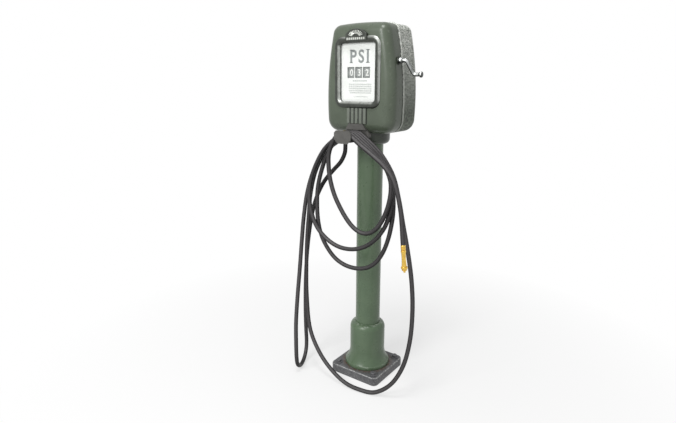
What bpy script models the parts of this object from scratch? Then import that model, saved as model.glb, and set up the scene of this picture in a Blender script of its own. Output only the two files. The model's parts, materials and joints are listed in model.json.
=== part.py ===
"""Service-station air meter: a cast head on a pipe column, with a crank-set number counter,
a pressure regulator and a rubber air hose looped over a hook.  Metres, +Z up, front faces -Y,
origin at the middle of the base plate's underside."""
import math

import bmesh
import bpy
from mathutils import Vector

GAP = 0.0003  # clearance between touching pieces
RUN = 0.0003  # radial clearance of a turning fit
EMBED = 0.001  # how far a fused boss reaches into its wall
ROUTE_FINE = 12  # steps between two points of a route
PIPE_STEP = 0.030
PIPE_TURN = math.radians(15)

# Base plate and its bolts
PLATE_SIDE = 0.198
PLATE_THICK = 0.031
PLATE_CORNER = 0.018
PLATE_EDGE = 0.004
BOLT_SPREAD = 0.076
BOLT_R = 0.006
BOLT_HEAD_R = 0.0105
BOLT_HEAD_H = 0.008
WASHER_R = 0.0135
WASHER_T = 0.0025
BOLT_FOOT = 0.004  # the shank ends this far above the floor

# Foot casting, column and collar
COLUMN_R = 0.04445
COLUMN_WALL = 0.0055
COLUMN_TOP = 0.8837
FOOT_R = 0.064
FOOT_RIM_R = 0.082
FOOT_RIM_H = 0.012
FOOT_FLARE_H = 0.060
FOOT_TOP = 0.196
FOOT_SHOULDER = 0.022
FOOT_WALL = 0.007
FOOT_SOCKET = 0.055
FOOT_SCREW_PCR = 0.066
FOOT_SCREW_R = 0.004
FOOT_SCREW_DEPTH = 0.012
FOOT_SCREW_HEAD_R = 0.0068
FOOT_SCREW_HEAD_H = 0.008
COLLAR_R = 0.066
COLLAR_LOW = 0.856
COLLAR_LIP = 0.0035
NECK_BORE_R = 0.036
NECK_BOLT_R = 0.004
NECK_BOLT_HEAD_R = 0.0068
NECK_BOLT_HEAD_H = 0.006
NECK_BOLT_DEPTH = 0.011
NECK_BOLT_PLACES = ((0.0, 0.054), (0.048, 0.010), (-0.048, 0.010))
PIPE_R = 0.0085
PIPE_Y = 0.018
PIPE_PORT_R = 0.020

# Head: one outline for cover and housing, drawn with four arcs and a flat floor
HEAD_LOW = 0.897
HEAD_HIGH = 1.240
HEAD_HALF = 0.1314
HEAD_WIDEST_Z = 1.000
HEAD_SIDE_R = 0.977
HEAD_TOP_R = 1.1
HEAD_FLOOR_CORNER = 0.042
HEAD_TOP_CORNER = 0.030
HEAD_WALL = 0.005
HEAD_FRONT = -0.084
HEAD_REAR = 0.085
FRONT_EDGE_R = 0.030
REAR_EDGE_R = 0.025
SEAM_Y = -0.020
GASKET_T = 0.0014
BEAD_RISE = 0.003
BEAD_WIDE = 0.0095
COVER_BOLT_R = 0.0026
COVER_BOLT_HEAD_R = 0.0055
COVER_BOLT_HEAD_H = 0.005
COVER_BOLT_REACH = -0.055
COVER_BOSS_R = 0.007
COVER_BOSS_END = -0.026
COVER_BOLT_PLACES = ((0.091, 0.939), (-0.091, 0.939), (0.076, 1.198), (-0.076, 1.198))

# Window, sign and trim on the front
BEZEL_HALF = 0.087
BEZEL_LOW = 0.977
BEZEL_HIGH = 1.198
BEZEL_CORNER = 0.030
BEZEL_WIDE = 0.020
BEZEL_RISE = 0.006
BEZEL_LIP = 0.0035
BEZEL_LIP_DEPTH = 0.0018
GLASS_T = 0.003
GLASS_LAP = 0.0032
GLAZING_T = 0.002
PANEL_T = 0.002
PANEL_LAP = 0.008  # the panel reaches behind the cover by this
DIGIT_WINDOW_W = 0.027
DIGIT_WINDOW_H = 0.034
BADGE_HALF = 0.040
BADGE_LOW = 1.185
BADGE_SHOULDER = 1.204
BADGE_HIGH = 1.220
BADGE_RISE = 0.011
APRON_HALF = 0.039
APRON_LOW = 0.928
APRON_BASE = 0.002
APRON_RIB_RISE = 0.003
APRON_RIBS = 5

# Air hose and hook
HOSE_D = 0.0148
HOSE_PITCH = 0.01525
LANES = 5
HOSE_STEP = 0.050  # longest stretch between rings of the tube
HOSE_TURN = math.radians(14)  # most that the tube turns between rings
SADDLE_BEND = 0.0516  # hose centre line over the arm
SADDLE_TOP = 0.9001  # hose centre line at its highest
ARM_HALF = 0.029
ARM_LOW = 0.874
ARM_START = -0.070
ROOT_FRONT = -0.0846
ROOT_TOP = 0.927
ROOT_TOP_HALF = 0.027
ROOT_LOW_HALF = 0.047
ROOT_LOW = 0.884
KEEPER_RISE = 0.0075
KEEPER_LOW = 0.908
LIP_T = 0.004
LIP_HALF = 0.0325
LIP_LOW = 0.869
LIP_HIGH = 0.910
LIP_TOP_CUT = 0.007
LIP_LOW_CUT = 0.014
HOOK_BOLT_X = 0.017
HOOK_BOLT_Z = 0.9185
HOOK_BOLT_R = 0.003
HOOK_BOLT_HEAD_R = 0.005
HOOK_BOLT_HEAD_H = 0.004
HOOK_BOLT_BITE = 0.005
HOOK_BOLT_OVER = 0.010  # the cutters run out past the wall
GLAND_X = -0.074
GLAND_Y = -0.0435
GLAND_R = 0.0115
GLAND_H = 0.012
SLEEVE_R = 0.0105
SLEEVE_H = 0.024

# Crank and its shaft
CRANK_Y = -0.040
CRANK_Z = 1.123
SHAFT_R = 0.006
SHAFT_START = 0.0455
BUSH_FLANGE_R = 0.0125
BUSH_FLANGE_T = 0.0035
BUSH_R = 0.009
BUSH_INNER = 0.110
BUSH_SEAT = 0.0015  # the flange clears the cover's curved side
CRANK_HUB_R = 0.0095
CRANK_HUB_L = 0.010
CRANK_SOCKET = 0.005
CRANK_ROD_R = 0.006
CRANK_BACK = 0.022
CRANK_DROP = 0.042
CRANK_LEAD = 0.005
CRANK_BEND_R = 0.010
CRANK_SLOPE = math.radians(72)
CRANK_GRIP = 0.012
KNOB_R = 0.0095
KNOB_L = 0.010

# Counter: three drums on an axle below the crank shaft
GEAR_MODULE = 0.002
CRANK_TEETH = 20
SCREW_TEETH = 56
GEAR_LEFT = 0.046
GEAR_WIDE = 0.009
DRUM_Z = 1.088
DRUM_R = 0.052
DRUM_WIDE = 0.027
DRUM_PITCH = 0.030
DRUM_RIM = 0.005
DRUM_WEB = 0.004
DRUM_HUB_R = 0.010
AXLE_R = 0.004
AXLE_HEAD_R = 0.007
AXLE_HEAD_T = 0.002
FRAME_LEFT = -0.047
FRAME_RIGHT = 0.060
FRAME_T = 0.003
FRAME_LOW = 0.985
FRAME_HIGH = 1.140
FRAME_FRONT = -0.054

# Regulator below the drums
SCREW_BACK = 0.024  # behind the drum axle
SCREW_R = 0.005
BONNET_R = 0.020
BONNET_WALL = 0.003
BONNET_RIGHT = 0.044
FLANGE_R = 0.0232
FLANGE_T = 0.006
DIAPHRAGM_X = -0.010
DIAPHRAGM_T = 0.002
NUT_X = 0.024
NUT_T = 0.008
NUT_R = 0.0155
SPRING_R = 0.011
SPRING_WIRE = 0.0024
SPRING_TURNS = 5
SPRING_POINTS = 8
INLET_X = -0.0268
OUTLET_X = -0.0411
SCREW_TIP_ROOM = 0.003
TUBE_R = 0.005

# Chuck on the hose end
FERRULE_R = 0.0078
FERRULE_L = 0.016
CHUCK_R = 0.0082
CHUCK_L = 0.066
CHUCK_HEX_R = 0.0105
CHUCK_HEX_L = 0.013
CHUCK_BORE = 0.0042
CHUCK_PIN_R = 0.0038
CHUCK_PIN_L = 0.012
CHUCK_PIN_OUT = 0.006

# What follows from the sizes above
PLATE_TOP = PLATE_THICK + GAP
HOUSING_FRONT = SEAM_Y + GASKET_T / 2 + GAP
COVER_REAR = SEAM_Y - GASKET_T / 2 - GAP
FACE_Y = HEAD_FRONT - GAP
BEZEL_BACK = HEAD_FRONT + BEZEL_LIP_DEPTH
GLASS_FRONT = BEZEL_BACK + GAP
GLAZING_FRONT = GLASS_FRONT + GLASS_T + GAP
PANEL_FRONT = GLAZING_FRONT + GLAZING_T + GAP
GEAR_R = GEAR_MODULE * CRANK_TEETH / 2
DRUM_Y = CRANK_Y + math.sqrt((2 * GEAR_R) ** 2 - (CRANK_Z - DRUM_Z) ** 2)
SCREW_REACH = GEAR_MODULE * (CRANK_TEETH + SCREW_TEETH) / 2
SCREW_Y = DRUM_Y + SCREW_BACK
SCREW_Z = DRUM_Z - math.sqrt(SCREW_REACH ** 2 - SCREW_BACK ** 2)
HOSE_R = HOSE_D / 2
SADDLE_CENTRE = SADDLE_TOP - SADDLE_BEND
CHORD_SAG = SADDLE_BEND * (1 - math.cos(HOSE_TURN))
ARM_R = SADDLE_BEND - HOSE_R - GAP - CHORD_SAG
LANE_START = ROOT_FRONT - GAP - HOSE_R
ARM_END = LANE_START - (LANES - 1) * HOSE_PITCH - HOSE_R - GAP

for old in list(bpy.data.objects):
    bpy.data.objects.remove(old, do_unlink=True)


def material(name, colour, roughness, metallic):
    """A Principled finish."""
    made = bpy.data.materials.new(name)
    made.use_nodes = True
    shader = made.node_tree.nodes["Principled BSDF"]
    shader.inputs["Base Color"].default_value = (*colour, 1.0)
    shader.inputs["Roughness"].default_value = roughness
    shader.inputs["Metallic"].default_value = metallic
    made.diffuse_color = (*colour, 1.0)
    return made


GREEN = material("green_enamel", (0.10, 0.13, 0.09), 0.45, 0.0)
COLUMN_GREEN = material("column_enamel", (0.08, 0.15, 0.085), 0.45, 0.0)
DARK = material("dark_enamel", (0.03, 0.035, 0.028), 0.5, 0.0)
PLATE_STEEL = material("plate_steel", (0.11, 0.11, 0.115), 0.55, 0.7)
STEEL = material("bright_steel", (0.60, 0.60, 0.58), 0.25, 1.0)
GUNMETAL = material("gunmetal", (0.16, 0.16, 0.15), 0.4, 0.9)
HOOK_METAL = material("hook_iron", (0.14, 0.135, 0.125), 0.5, 0.6)
BRASS = material("brass", (0.70, 0.48, 0.16), 0.3, 1.0)
RUBBER = material("black_rubber", (0.02, 0.02, 0.022), 0.5, 0.0)
WHITE = material("white_enamel", (0.80, 0.80, 0.78), 0.35, 0.0)
GLASS = material("clear_glass", (0.9, 0.95, 0.95), 0.05, 0.0)
DRUM_GREY = material("drum_grey", (0.16, 0.16, 0.16), 0.5, 0.0)


def new_object(name, data, finish, smooth=True):
    """Link data under a name, shade it and give it a finish."""
    made = bpy.data.objects.new(name, data)
    bpy.context.collection.objects.link(made)
    data.materials.append(finish)
    if smooth:
        data.shade_smooth()
        data.set_sharp_from_angle(angle=math.radians(35))
    return made


def mesh_from(bm, name):
    """Close a bmesh into a mesh with its faces pointing out."""
    bmesh.ops.recalc_face_normals(bm, faces=bm.faces)
    made = bpy.data.meshes.new(name)
    bm.to_mesh(made)
    bm.free()
    return made


def set_in(axis, first, second, along):
    """A point from two in-plane values and one along an axis."""
    return {"x": (along, first, second), "y": (first, along, second), "z": (first, second, along)}[axis]


def prism_mesh(name, outline, axis, low, high):
    """An outline extruded along an axis."""
    bm = bmesh.new()
    face = bm.faces.new([bm.verts.new(set_in(axis, a, b, low)) for a, b in outline])
    grown = bmesh.ops.extrude_face_region(bm, geom=[face])["geom"]
    moved = [g for g in grown if isinstance(g, bmesh.types.BMVert)]
    bmesh.ops.translate(bm, verts=moved, vec=set_in(axis, 0.0, 0.0, high - low))
    return mesh_from(bm, name)


def prism(name, outline, axis, low, high, finish, smooth=False):
    """A prism as a named piece."""
    return new_object(name, prism_mesh(name, outline, axis, low, high), finish, smooth)


def turned_mesh(name, profile, steps):
    """A profile of radius and height pairs spun once round Z."""
    bm = bmesh.new()
    points = [bm.verts.new((max(r, 0.0), 0.0, z)) for r, z in profile]
    edges = []
    for here, there in zip(points, points[1:] + points[:1]):
        if here.co.x > 0.0 or there.co.x > 0.0:
            edges.append(bm.edges.new((here, there)))
    bmesh.ops.spin(bm, geom=points + edges, axis=(0, 0, 1), cent=(0, 0, 0),
                   steps=steps, angle=2 * math.pi, use_duplicate=False)
    bmesh.ops.remove_doubles(bm, verts=bm.verts, dist=1e-6)
    return mesh_from(bm, name)


def turned(name, profile, finish, steps=32, location=(0, 0, 0), axis=(0, 0, 1)):
    """A turned piece standing at a point, along an axis."""
    made = new_object(name, turned_mesh(name, profile, steps), finish)
    made.location = location
    made.rotation_mode = "QUATERNION"
    made.rotation_quaternion = Vector((0, 0, 1)).rotation_difference(Vector(axis))
    return made


def cutter(name, data, location=(0, 0, 0), axis=(0, 0, 1)):
    """A hidden shape for a Boolean."""
    made = bpy.data.objects.new(name, data)
    bpy.context.collection.objects.link(made)
    made.hide_render = True
    made.display_type = "WIRE"
    made.location = location
    made.rotation_mode = "QUATERNION"
    made.rotation_quaternion = Vector((0, 0, 1)).rotation_difference(Vector(axis))
    return made


def combine(target, other, operation="DIFFERENCE"):
    """Cut or join by an exact Boolean."""
    step = target.modifiers.new(other.name, "BOOLEAN")
    step.operation = operation
    step.object = other
    step.solver = "EXACT"


def drill(target, radius, start, axis, depth, steps=14):
    """A round hole from a point along an axis."""
    rod = [(0.0, 0.0), (radius, 0.0), (radius, depth), (0.0, depth)]
    name = f"{target.name}_hole_{len(target.modifiers)}"
    combine(target, cutter(name, turned_mesh(name, rod, steps), start, axis))


def drill_stepped(target, steps_out, start, axis, sides=12):
    """A hole that changes radius: pairs of radius and depth from a point along an axis."""
    profile = [(0.0, 0.0)]
    reached = 0.0
    for radius, depth in steps_out:
        profile += [(radius, reached), (radius, depth)]
        reached = depth
    profile.append((0.0, reached))
    name = f"{target.name}_hole_{len(target.modifiers)}"
    combine(target, cutter(name, turned_mesh(name, profile, sides), start, axis))


def tube(name, points, radius, finish, sides=1):
    """A round bar along a list of points."""
    curve = bpy.data.curves.new(name, "CURVE")
    curve.dimensions = "3D"
    curve.bevel_depth = radius
    curve.bevel_resolution = sides
    curve.use_fill_caps = True
    curve.twist_mode = "MINIMUM"
    line = curve.splines.new("POLY")
    line.points.add(len(points) - 1)
    for place, point in zip(line.points, points):
        place.co = (*point, 1.0)
    curve.materials.append(finish)
    made = bpy.data.objects.new(name, curve)
    bpy.context.collection.objects.link(made)
    return made


def arc(centre, radius, start, end, steps):
    """Points on a circle from one angle to another, in degrees."""
    turns = [math.radians(start + (end - start) * i / steps) for i in range(steps + 1)]
    return [(centre[0] + radius * math.cos(t), centre[1] + radius * math.sin(t)) for t in turns]


def rounded_rectangle(low, high, corner, steps=5):
    """A rectangle from two corners with round corners."""
    (x0, z0), (x1, z1) = low, high
    points = []
    for cx, cz, start in ((x1 - corner, z0 + corner, -90), (x1 - corner, z1 - corner, 0),
                          (x0 + corner, z1 - corner, 90), (x0 + corner, z0 + corner, 180)):
        points += arc((cx, cz), corner, start, start + 90, steps)
    return points


def loft_mesh(name, rings):
    """A closed skin over rings of equal point counts, capped at both ends."""
    bm = bmesh.new()
    rows = [[bm.verts.new(p) for p in ring] for ring in rings]
    for row, after in zip(rows, rows[1:]):
        for i in range(len(row)):
            j = (i + 1) % len(row)
            bm.faces.new((row[i], row[j], after[j], after[i]))
    bm.faces.new(rows[0])
    bm.faces.new(rows[-1])
    return mesh_from(bm, name)


def frame_mesh(name, rings):
    """A closed skin over rings that come back to the first one, such as a picture frame."""
    bm = bmesh.new()
    rows = [[bm.verts.new(p) for p in ring] for ring in rings]
    for row, after in zip(rows, rows[1:] + rows[:1]):
        for i in range(len(row)):
            j = (i + 1) % len(row)
            bm.faces.new((row[i], row[j], after[j], after[i]))
    return mesh_from(bm, name)


def smooth_route(points, longest, turn):
    """Points on a smooth curve through the given ones: closer together where it bends."""
    points = [Vector(p) for p in points]
    ends = [2 * points[0] - points[1]] + points + [2 * points[-1] - points[-2]]
    fine = []
    for a, b, c, d in zip(ends, ends[1:], ends[2:], ends[3:]):
        knots = [0.0]
        for p, q in ((a, b), (b, c), (c, d)):
            knots.append(knots[-1] + math.sqrt((q - p).length))
        for i in range(ROUTE_FINE):
            t = knots[1] + (knots[2] - knots[1]) * i / ROUTE_FINE
            ab = a.lerp(b, (t - knots[0]) / (knots[1] - knots[0]))
            bc = b.lerp(c, (t - knots[1]) / (knots[2] - knots[1]))
            cd = c.lerp(d, (t - knots[2]) / (knots[3] - knots[2]))
            abc = ab.lerp(bc, (t - knots[0]) / (knots[2] - knots[0]))
            bcd = bc.lerp(cd, (t - knots[1]) / (knots[3] - knots[1]))
            fine.append(abc.lerp(bcd, (t - knots[1]) / (knots[2] - knots[1])))
    fine.append(points[-1])
    length = sum((q - p).length for p, q in zip(fine, fine[1:]))
    kept = [fine[0]]
    run = 0.0
    bent = 0.0
    for before, here, after in zip(fine, fine[1:], fine[2:]):
        run += (here - before).length
        bent += (here - before).angle(after - here)
        if run > longest or bent > turn:
            kept.append(here)
            run = 0.0
            bent = 0.0
    return kept + [fine[-1]], length


def crossing(c1, r1, c2, r2):
    """The right-hand, upper point where two circles meet."""
    c1 = Vector(c1)
    c2 = Vector(c2)
    apart = (c2 - c1).length
    along = (r1 * r1 - r2 * r2 + apart * apart) / (2 * apart)
    aside = math.sqrt(r1 * r1 - along * along)
    way = (c2 - c1) / apart
    foot = c1 + way * along
    side = Vector((way.y, -way.x)) * aside
    return max(foot + side, foot - side, key=lambda p: p.x + p.y)


def angle_of(p, q):
    """Direction from p to q in degrees."""
    return math.degrees(math.atan2(q[1] - p[1], q[0] - p[0]))


def head_outline(inset):
    """The head seen from the front, as (x, z), moved in by an inset."""
    side = (HEAD_HALF - HEAD_SIDE_R, HEAD_WIDEST_Z)
    top = (0.0, HEAD_HIGH - HEAD_TOP_R)
    high_r = max(HEAD_TOP_CORNER - inset, 0.004)
    low_r = max(HEAD_FLOOR_CORNER - inset, 0.004)
    side_r = HEAD_SIDE_R - inset
    top_r = HEAD_TOP_R - inset
    high_c = crossing(side, side_r - high_r, top, top_r - high_r)
    low_z = HEAD_LOW + inset + low_r
    low_c = (side[0] + math.sqrt((side_r - low_r) ** 2 - (low_z - side[1]) ** 2), low_z)
    low_turn = angle_of(side, low_c)
    high_turn = angle_of(side, high_c)
    top_turn = angle_of(top, high_c)
    right = arc(low_c, low_r, -90, low_turn, 5)
    right += arc(side, side_r, low_turn, high_turn, 6)[1:]
    right += arc(high_c, high_r, high_turn, top_turn, 5)[1:]
    right += arc(top, top_r, top_turn, 90, 3)[1:-1]
    left = [(-x, z) for x, z in reversed(right)]
    return right + [(0.0, HEAD_HIGH - inset)] + left


def head_ring(y, inset):
    """One section of the head."""
    return [(x, y, z) for x, z in head_outline(inset)]


def bead_ring(y, rise):
    """A section raised all round but for the floor, where the collar meets the head."""
    ring = []
    for (x0, z0), (x1, z1) in zip(head_outline(0.0), head_outline(-rise)):
        share = min(max((z0 - HEAD_LOW) / HEAD_FLOOR_CORNER, 0.0), 1.0)
        ring.append((x0 + (x1 - x0) * share, y, z0 + (z1 - z0) * share))
    return ring


def edge_rings(y, inset, radius, way, steps=4):
    """Sections round an edge: from a wall at an inset to a face that a radius ends on."""
    turns = [math.pi / 2 * i / steps for i in range(steps + 1)]
    return [(y + way * radius * math.sin(t), inset + radius * (1 - math.cos(t))) for t in turns]


def head_shell(name, sections, finish):
    """A shell from (y, inset) pairs that run from the inner cap to the outer cap."""
    return new_object(name, loft_mesh(name, [head_ring(y, i) for y, i in sections]), finish)


# Base plate, its anchor bolts and the screws that hold the foot casting
half = PLATE_SIDE / 2
edge = PLATE_EDGE
plate_rings = [
    [(x, y, 0.0) for x, y in rounded_rectangle((-half, -half), (half, half), PLATE_CORNER)],
    [(x, y, PLATE_THICK - edge) for x, y in rounded_rectangle((-half, -half), (half, half), PLATE_CORNER)],
    [(x, y, PLATE_THICK) for x, y in rounded_rectangle((edge - half, edge - half),
                                                       (half - edge, half - edge), PLATE_CORNER - edge)],
]
base_plate = new_object("base_plate", loft_mesh("base_plate", plate_rings), PLATE_STEEL)
drill(base_plate, PIPE_R + RUN, (0, PIPE_Y, -EMBED), (0, 0, 1), PLATE_THICK + 2 * EMBED)

bolt_low = PLATE_TOP
bolt_profile = [
    (0.0, BOLT_FOOT), (BOLT_R, BOLT_FOOT), (BOLT_R, bolt_low), (WASHER_R, bolt_low),
    (WASHER_R, bolt_low + WASHER_T), (BOLT_HEAD_R, bolt_low + WASHER_T),
    (BOLT_HEAD_R, bolt_low + WASHER_T + BOLT_HEAD_H * 0.8),
    (BOLT_HEAD_R * 0.85, bolt_low + WASHER_T + BOLT_HEAD_H), (0.0, bolt_low + WASHER_T + BOLT_HEAD_H),
]
corners = ((1, 1), (-1, 1), (-1, -1), (1, -1))
for number, (sx, sy) in enumerate(corners, 1):
    place = (sx * BOLT_SPREAD, sy * BOLT_SPREAD, 0.0)
    drill(base_plate, BOLT_R + GAP, (place[0], place[1], -EMBED), (0, 0, 1), PLATE_THICK + 2 * EMBED)
    turned(f"anchor_bolt_{number}", bolt_profile, PLATE_STEEL, 12, place)

# Foot casting: a bell with a socket for the column
flare_top = PLATE_TOP + FOOT_FLARE_H
rim_top = PLATE_TOP + FOOT_RIM_H
flare = FOOT_RIM_R - FOOT_R
socket_r = COLUMN_R + GAP
shoulder_z = FOOT_TOP - FOOT_SHOULDER
shoulder_wide = FOOT_R - socket_r
foot_profile = [(FOOT_R - FOOT_WALL, PLATE_TOP), (FOOT_RIM_R, PLATE_TOP), (FOOT_RIM_R, rim_top)]
for i in range(1, 7):
    share = i / 6
    foot_profile.append((FOOT_RIM_R - flare * math.sin(share * math.pi / 2) ** 1.2,
                         rim_top + (flare_top - rim_top) * share ** 1.3))
for i in range(0, 6):
    turn = math.pi / 2 * i / 5
    foot_profile.append((socket_r + EMBED + (shoulder_wide - EMBED) * math.cos(turn),
                         shoulder_z + FOOT_SHOULDER * math.sin(turn)))
foot_profile += [(socket_r, FOOT_TOP), (socket_r, FOOT_TOP - FOOT_SOCKET),
                 (FOOT_R - FOOT_WALL, FOOT_TOP - FOOT_SOCKET - FOOT_WALL)]
foot_casting = turned("foot_casting", foot_profile, COLUMN_GREEN, 30)

screw_bore = FOOT_SCREW_HEAD_H + 2 * GAP
foot_screw_profile = [
    (0.0, GAP), (FOOT_SCREW_HEAD_R, GAP), (FOOT_SCREW_HEAD_R, GAP + FOOT_SCREW_HEAD_H),
    (FOOT_SCREW_R, GAP + FOOT_SCREW_HEAD_H), (FOOT_SCREW_R, PLATE_TOP + FOOT_SCREW_DEPTH),
    (0.0, PLATE_TOP + FOOT_SCREW_DEPTH),
]
for number in range(1, 4):
    turn = math.radians(90 + 120 * (number - 1))
    place = (FOOT_SCREW_PCR * math.cos(turn), FOOT_SCREW_PCR * math.sin(turn), 0.0)
    under = (place[0], place[1], -EMBED)
    drill_stepped(base_plate, ((FOOT_SCREW_HEAD_R + GAP, EMBED + screw_bore),
                               (FOOT_SCREW_R + GAP, PLATE_THICK + 2 * EMBED)), under, (0, 0, 1))
    drill(foot_casting, FOOT_SCREW_R + GAP, (place[0], place[1], PLATE_TOP - EMBED), (0, 0, 1),
          FOOT_SCREW_DEPTH + EMBED + GAP, 12)
    turned(f"foot_screw_{number}", foot_screw_profile, STEEL, 12, place)

# Column, collar and the bolts down into it
column_inner = COLUMN_R - COLUMN_WALL
turned("column_tube", [(column_inner, PLATE_TOP), (COLUMN_R, PLATE_TOP), (COLUMN_R, COLUMN_TOP),
                       (column_inner, COLUMN_TOP)], COLUMN_GREEN, 32)

collar_top = HEAD_LOW - GAP
collar_seat = COLUMN_TOP + GAP
collar_round = COLLAR_R - socket_r - COLLAR_LIP
collar_profile = [(NECK_BORE_R, collar_seat), (NECK_BORE_R, collar_top), (COLLAR_R, collar_top)]
for i in range(0, 6):
    turn = math.pi / 2 * i / 5
    collar_profile.append((COLLAR_R - collar_round * (1 - math.cos(turn)),
                           COLLAR_LOW + collar_round * (1 - math.sin(turn))))
collar_profile += [(socket_r, COLLAR_LOW), (socket_r, collar_seat)]
neck_collar = turned("neck_collar", collar_profile, DARK, 30)

# Head: rear housing, front cover and the gasket in the seam
rear_wall = edge_rings(HEAD_REAR - REAR_EDGE_R, 0.0, REAR_EDGE_R, 1)
rear_inside = edge_rings(HEAD_REAR - REAR_EDGE_R, HEAD_WALL, REAR_EDGE_R - HEAD_WALL, 1)
bead_end = HOUSING_FRONT + BEAD_WIDE
housing_rings = [head_ring(y, i) for y, i in rear_inside[::-1]]
housing_rings += [head_ring(HOUSING_FRONT, HEAD_WALL), bead_ring(HOUSING_FRONT, 0.4 * BEAD_RISE)]
housing_rings += [bead_ring(HOUSING_FRONT + 0.25 * BEAD_WIDE, BEAD_RISE)]
housing_rings += [bead_ring(bead_end - 0.25 * BEAD_WIDE, BEAD_RISE), head_ring(bead_end, 0.0)]
housing_rings += [head_ring(y, i) for y, i in rear_wall]
rear_housing = new_object("rear_housing", loft_mesh("rear_housing", housing_rings), GREEN)

cover_wall = edge_rings(HEAD_FRONT + FRONT_EDGE_R, 0.0, FRONT_EDGE_R, -1)
cover_inside = edge_rings(HEAD_FRONT + FRONT_EDGE_R, HEAD_WALL, FRONT_EDGE_R - HEAD_WALL, -1)
cover_sections = cover_inside[::-1] + [(COVER_REAR, HEAD_WALL), (COVER_REAR, 0.0)] + cover_wall
front_cover = head_shell("front_cover", cover_sections, GREEN)

gasket_rings = [head_ring(SEAM_Y - GASKET_T / 2, HEAD_WALL), head_ring(SEAM_Y - GASKET_T / 2, 0.0),
                head_ring(SEAM_Y + GASKET_T / 2, 0.0), head_ring(SEAM_Y + GASKET_T / 2, HEAD_WALL)]
new_object("cover_gasket", frame_mesh("cover_gasket", gasket_rings), RUBBER)

# Long bolts from the back hold the cover: each ends in a boss cast inside it
boss_length = COVER_BOSS_END - HEAD_FRONT - HEAD_WALL + EMBED
boss_start = HEAD_FRONT + HEAD_WALL - EMBED
bolt_head_y = HEAD_REAR + GAP
long_bolt = [(0.0, 0.0), (COVER_BOLT_HEAD_R, 0.0), (COVER_BOLT_HEAD_R, COVER_BOLT_HEAD_H),
             (COVER_BOLT_R, COVER_BOLT_HEAD_H)]
long_bolt += [(COVER_BOLT_R, COVER_BOLT_HEAD_H + bolt_head_y - COVER_BOLT_REACH)]
long_bolt += [(0.0, COVER_BOLT_HEAD_H + bolt_head_y - COVER_BOLT_REACH)]
boss_rod = [(0.0, 0.0), (COVER_BOSS_R, 0.0), (COVER_BOSS_R, boss_length), (0.0, boss_length)]
for number, (x, z) in enumerate(COVER_BOLT_PLACES, 1):
    boss = cutter(f"cover_boss_{number}", turned_mesh("cover_boss", boss_rod, 16), (x, boss_start, z),
                  (0, 1, 0))
    combine(front_cover, boss, "UNION")
for number, (x, z) in enumerate(COVER_BOLT_PLACES, 1):
    drill(front_cover, COVER_BOLT_R + GAP, (x, COVER_BOSS_END + EMBED, z), (0, -1, 0),
          COVER_BOSS_END + EMBED - COVER_BOLT_REACH + GAP, 12)
    drill(rear_housing, COVER_BOLT_R + GAP, (x, HEAD_REAR + EMBED, z), (0, -1, 0), HEAD_WALL + 2 * EMBED, 12)
    turned(f"cover_bolt_{number}", long_bolt, STEEL, 12, (x, bolt_head_y + COVER_BOLT_HEAD_H, z), (0, -1, 0))

# Neck bolts through the housing floor, and the port for the supply pipe
floor_top = HEAD_LOW + HEAD_WALL
neck_end = HEAD_LOW - NECK_BOLT_DEPTH
neck_profile = [
    (0.0, neck_end), (NECK_BOLT_R, neck_end), (NECK_BOLT_R, floor_top + GAP),
    (NECK_BOLT_HEAD_R, floor_top + GAP), (NECK_BOLT_HEAD_R, floor_top + GAP + NECK_BOLT_HEAD_H),
    (0.0, floor_top + GAP + NECK_BOLT_HEAD_H),
]
drill(rear_housing, PIPE_PORT_R, (0, PIPE_Y, HEAD_LOW - EMBED), (0, 0, 1), HEAD_WALL + 2 * EMBED, 24)
for number, (x, y) in enumerate(NECK_BOLT_PLACES, 1):
    drill(rear_housing, NECK_BOLT_R + GAP, (x, y, HEAD_LOW - EMBED), (0, 0, 1), HEAD_WALL + 2 * EMBED, 12)
    drill(neck_collar, NECK_BOLT_R + GAP, (x, y, neck_end - GAP), (0, 0, 1), NECK_BOLT_DEPTH + EMBED, 12)
    turned(f"neck_bolt_{number}", neck_profile, STEEL, 12, (x, y, 0.0))


def bezel_outline(inset):
    """The window frame's outline, as (x, z), moved in by an inset."""
    return rounded_rectangle((inset - BEZEL_HALF, BEZEL_LOW + inset),
                             (BEZEL_HALF - inset, BEZEL_HIGH - inset),
                             max(BEZEL_CORNER - inset, 0.006))


def bezel_ring(y, inset):
    """One section of the window frame."""
    return [(x, y, z) for x, z in bezel_outline(inset)]


# Window: bezel with a spigot through the cover, glass, glazing gasket and the printed panel
lip_inset = BEZEL_WIDE - BEZEL_LIP
window_cut = prism_mesh("window_cut", bezel_outline(lip_inset - GAP), "y",
                        HEAD_FRONT - EMBED, HEAD_FRONT + HEAD_WALL + EMBED)
combine(front_cover, cutter("window_cut", window_cut))
bead = [(FACE_Y - BEZEL_RISE * math.sin(math.pi * i / 8), BEZEL_WIDE * (1 - math.cos(math.pi * i / 8)) / 2)
        for i in range(9)]
bezel_sections = bead + [(BEZEL_BACK, BEZEL_WIDE), (BEZEL_BACK, lip_inset), (FACE_Y, lip_inset)]
window_bezel = new_object("window_bezel", frame_mesh("window_bezel",
                                                     [bezel_ring(y, i) for y, i in bezel_sections]),
                          GUNMETAL)

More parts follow.
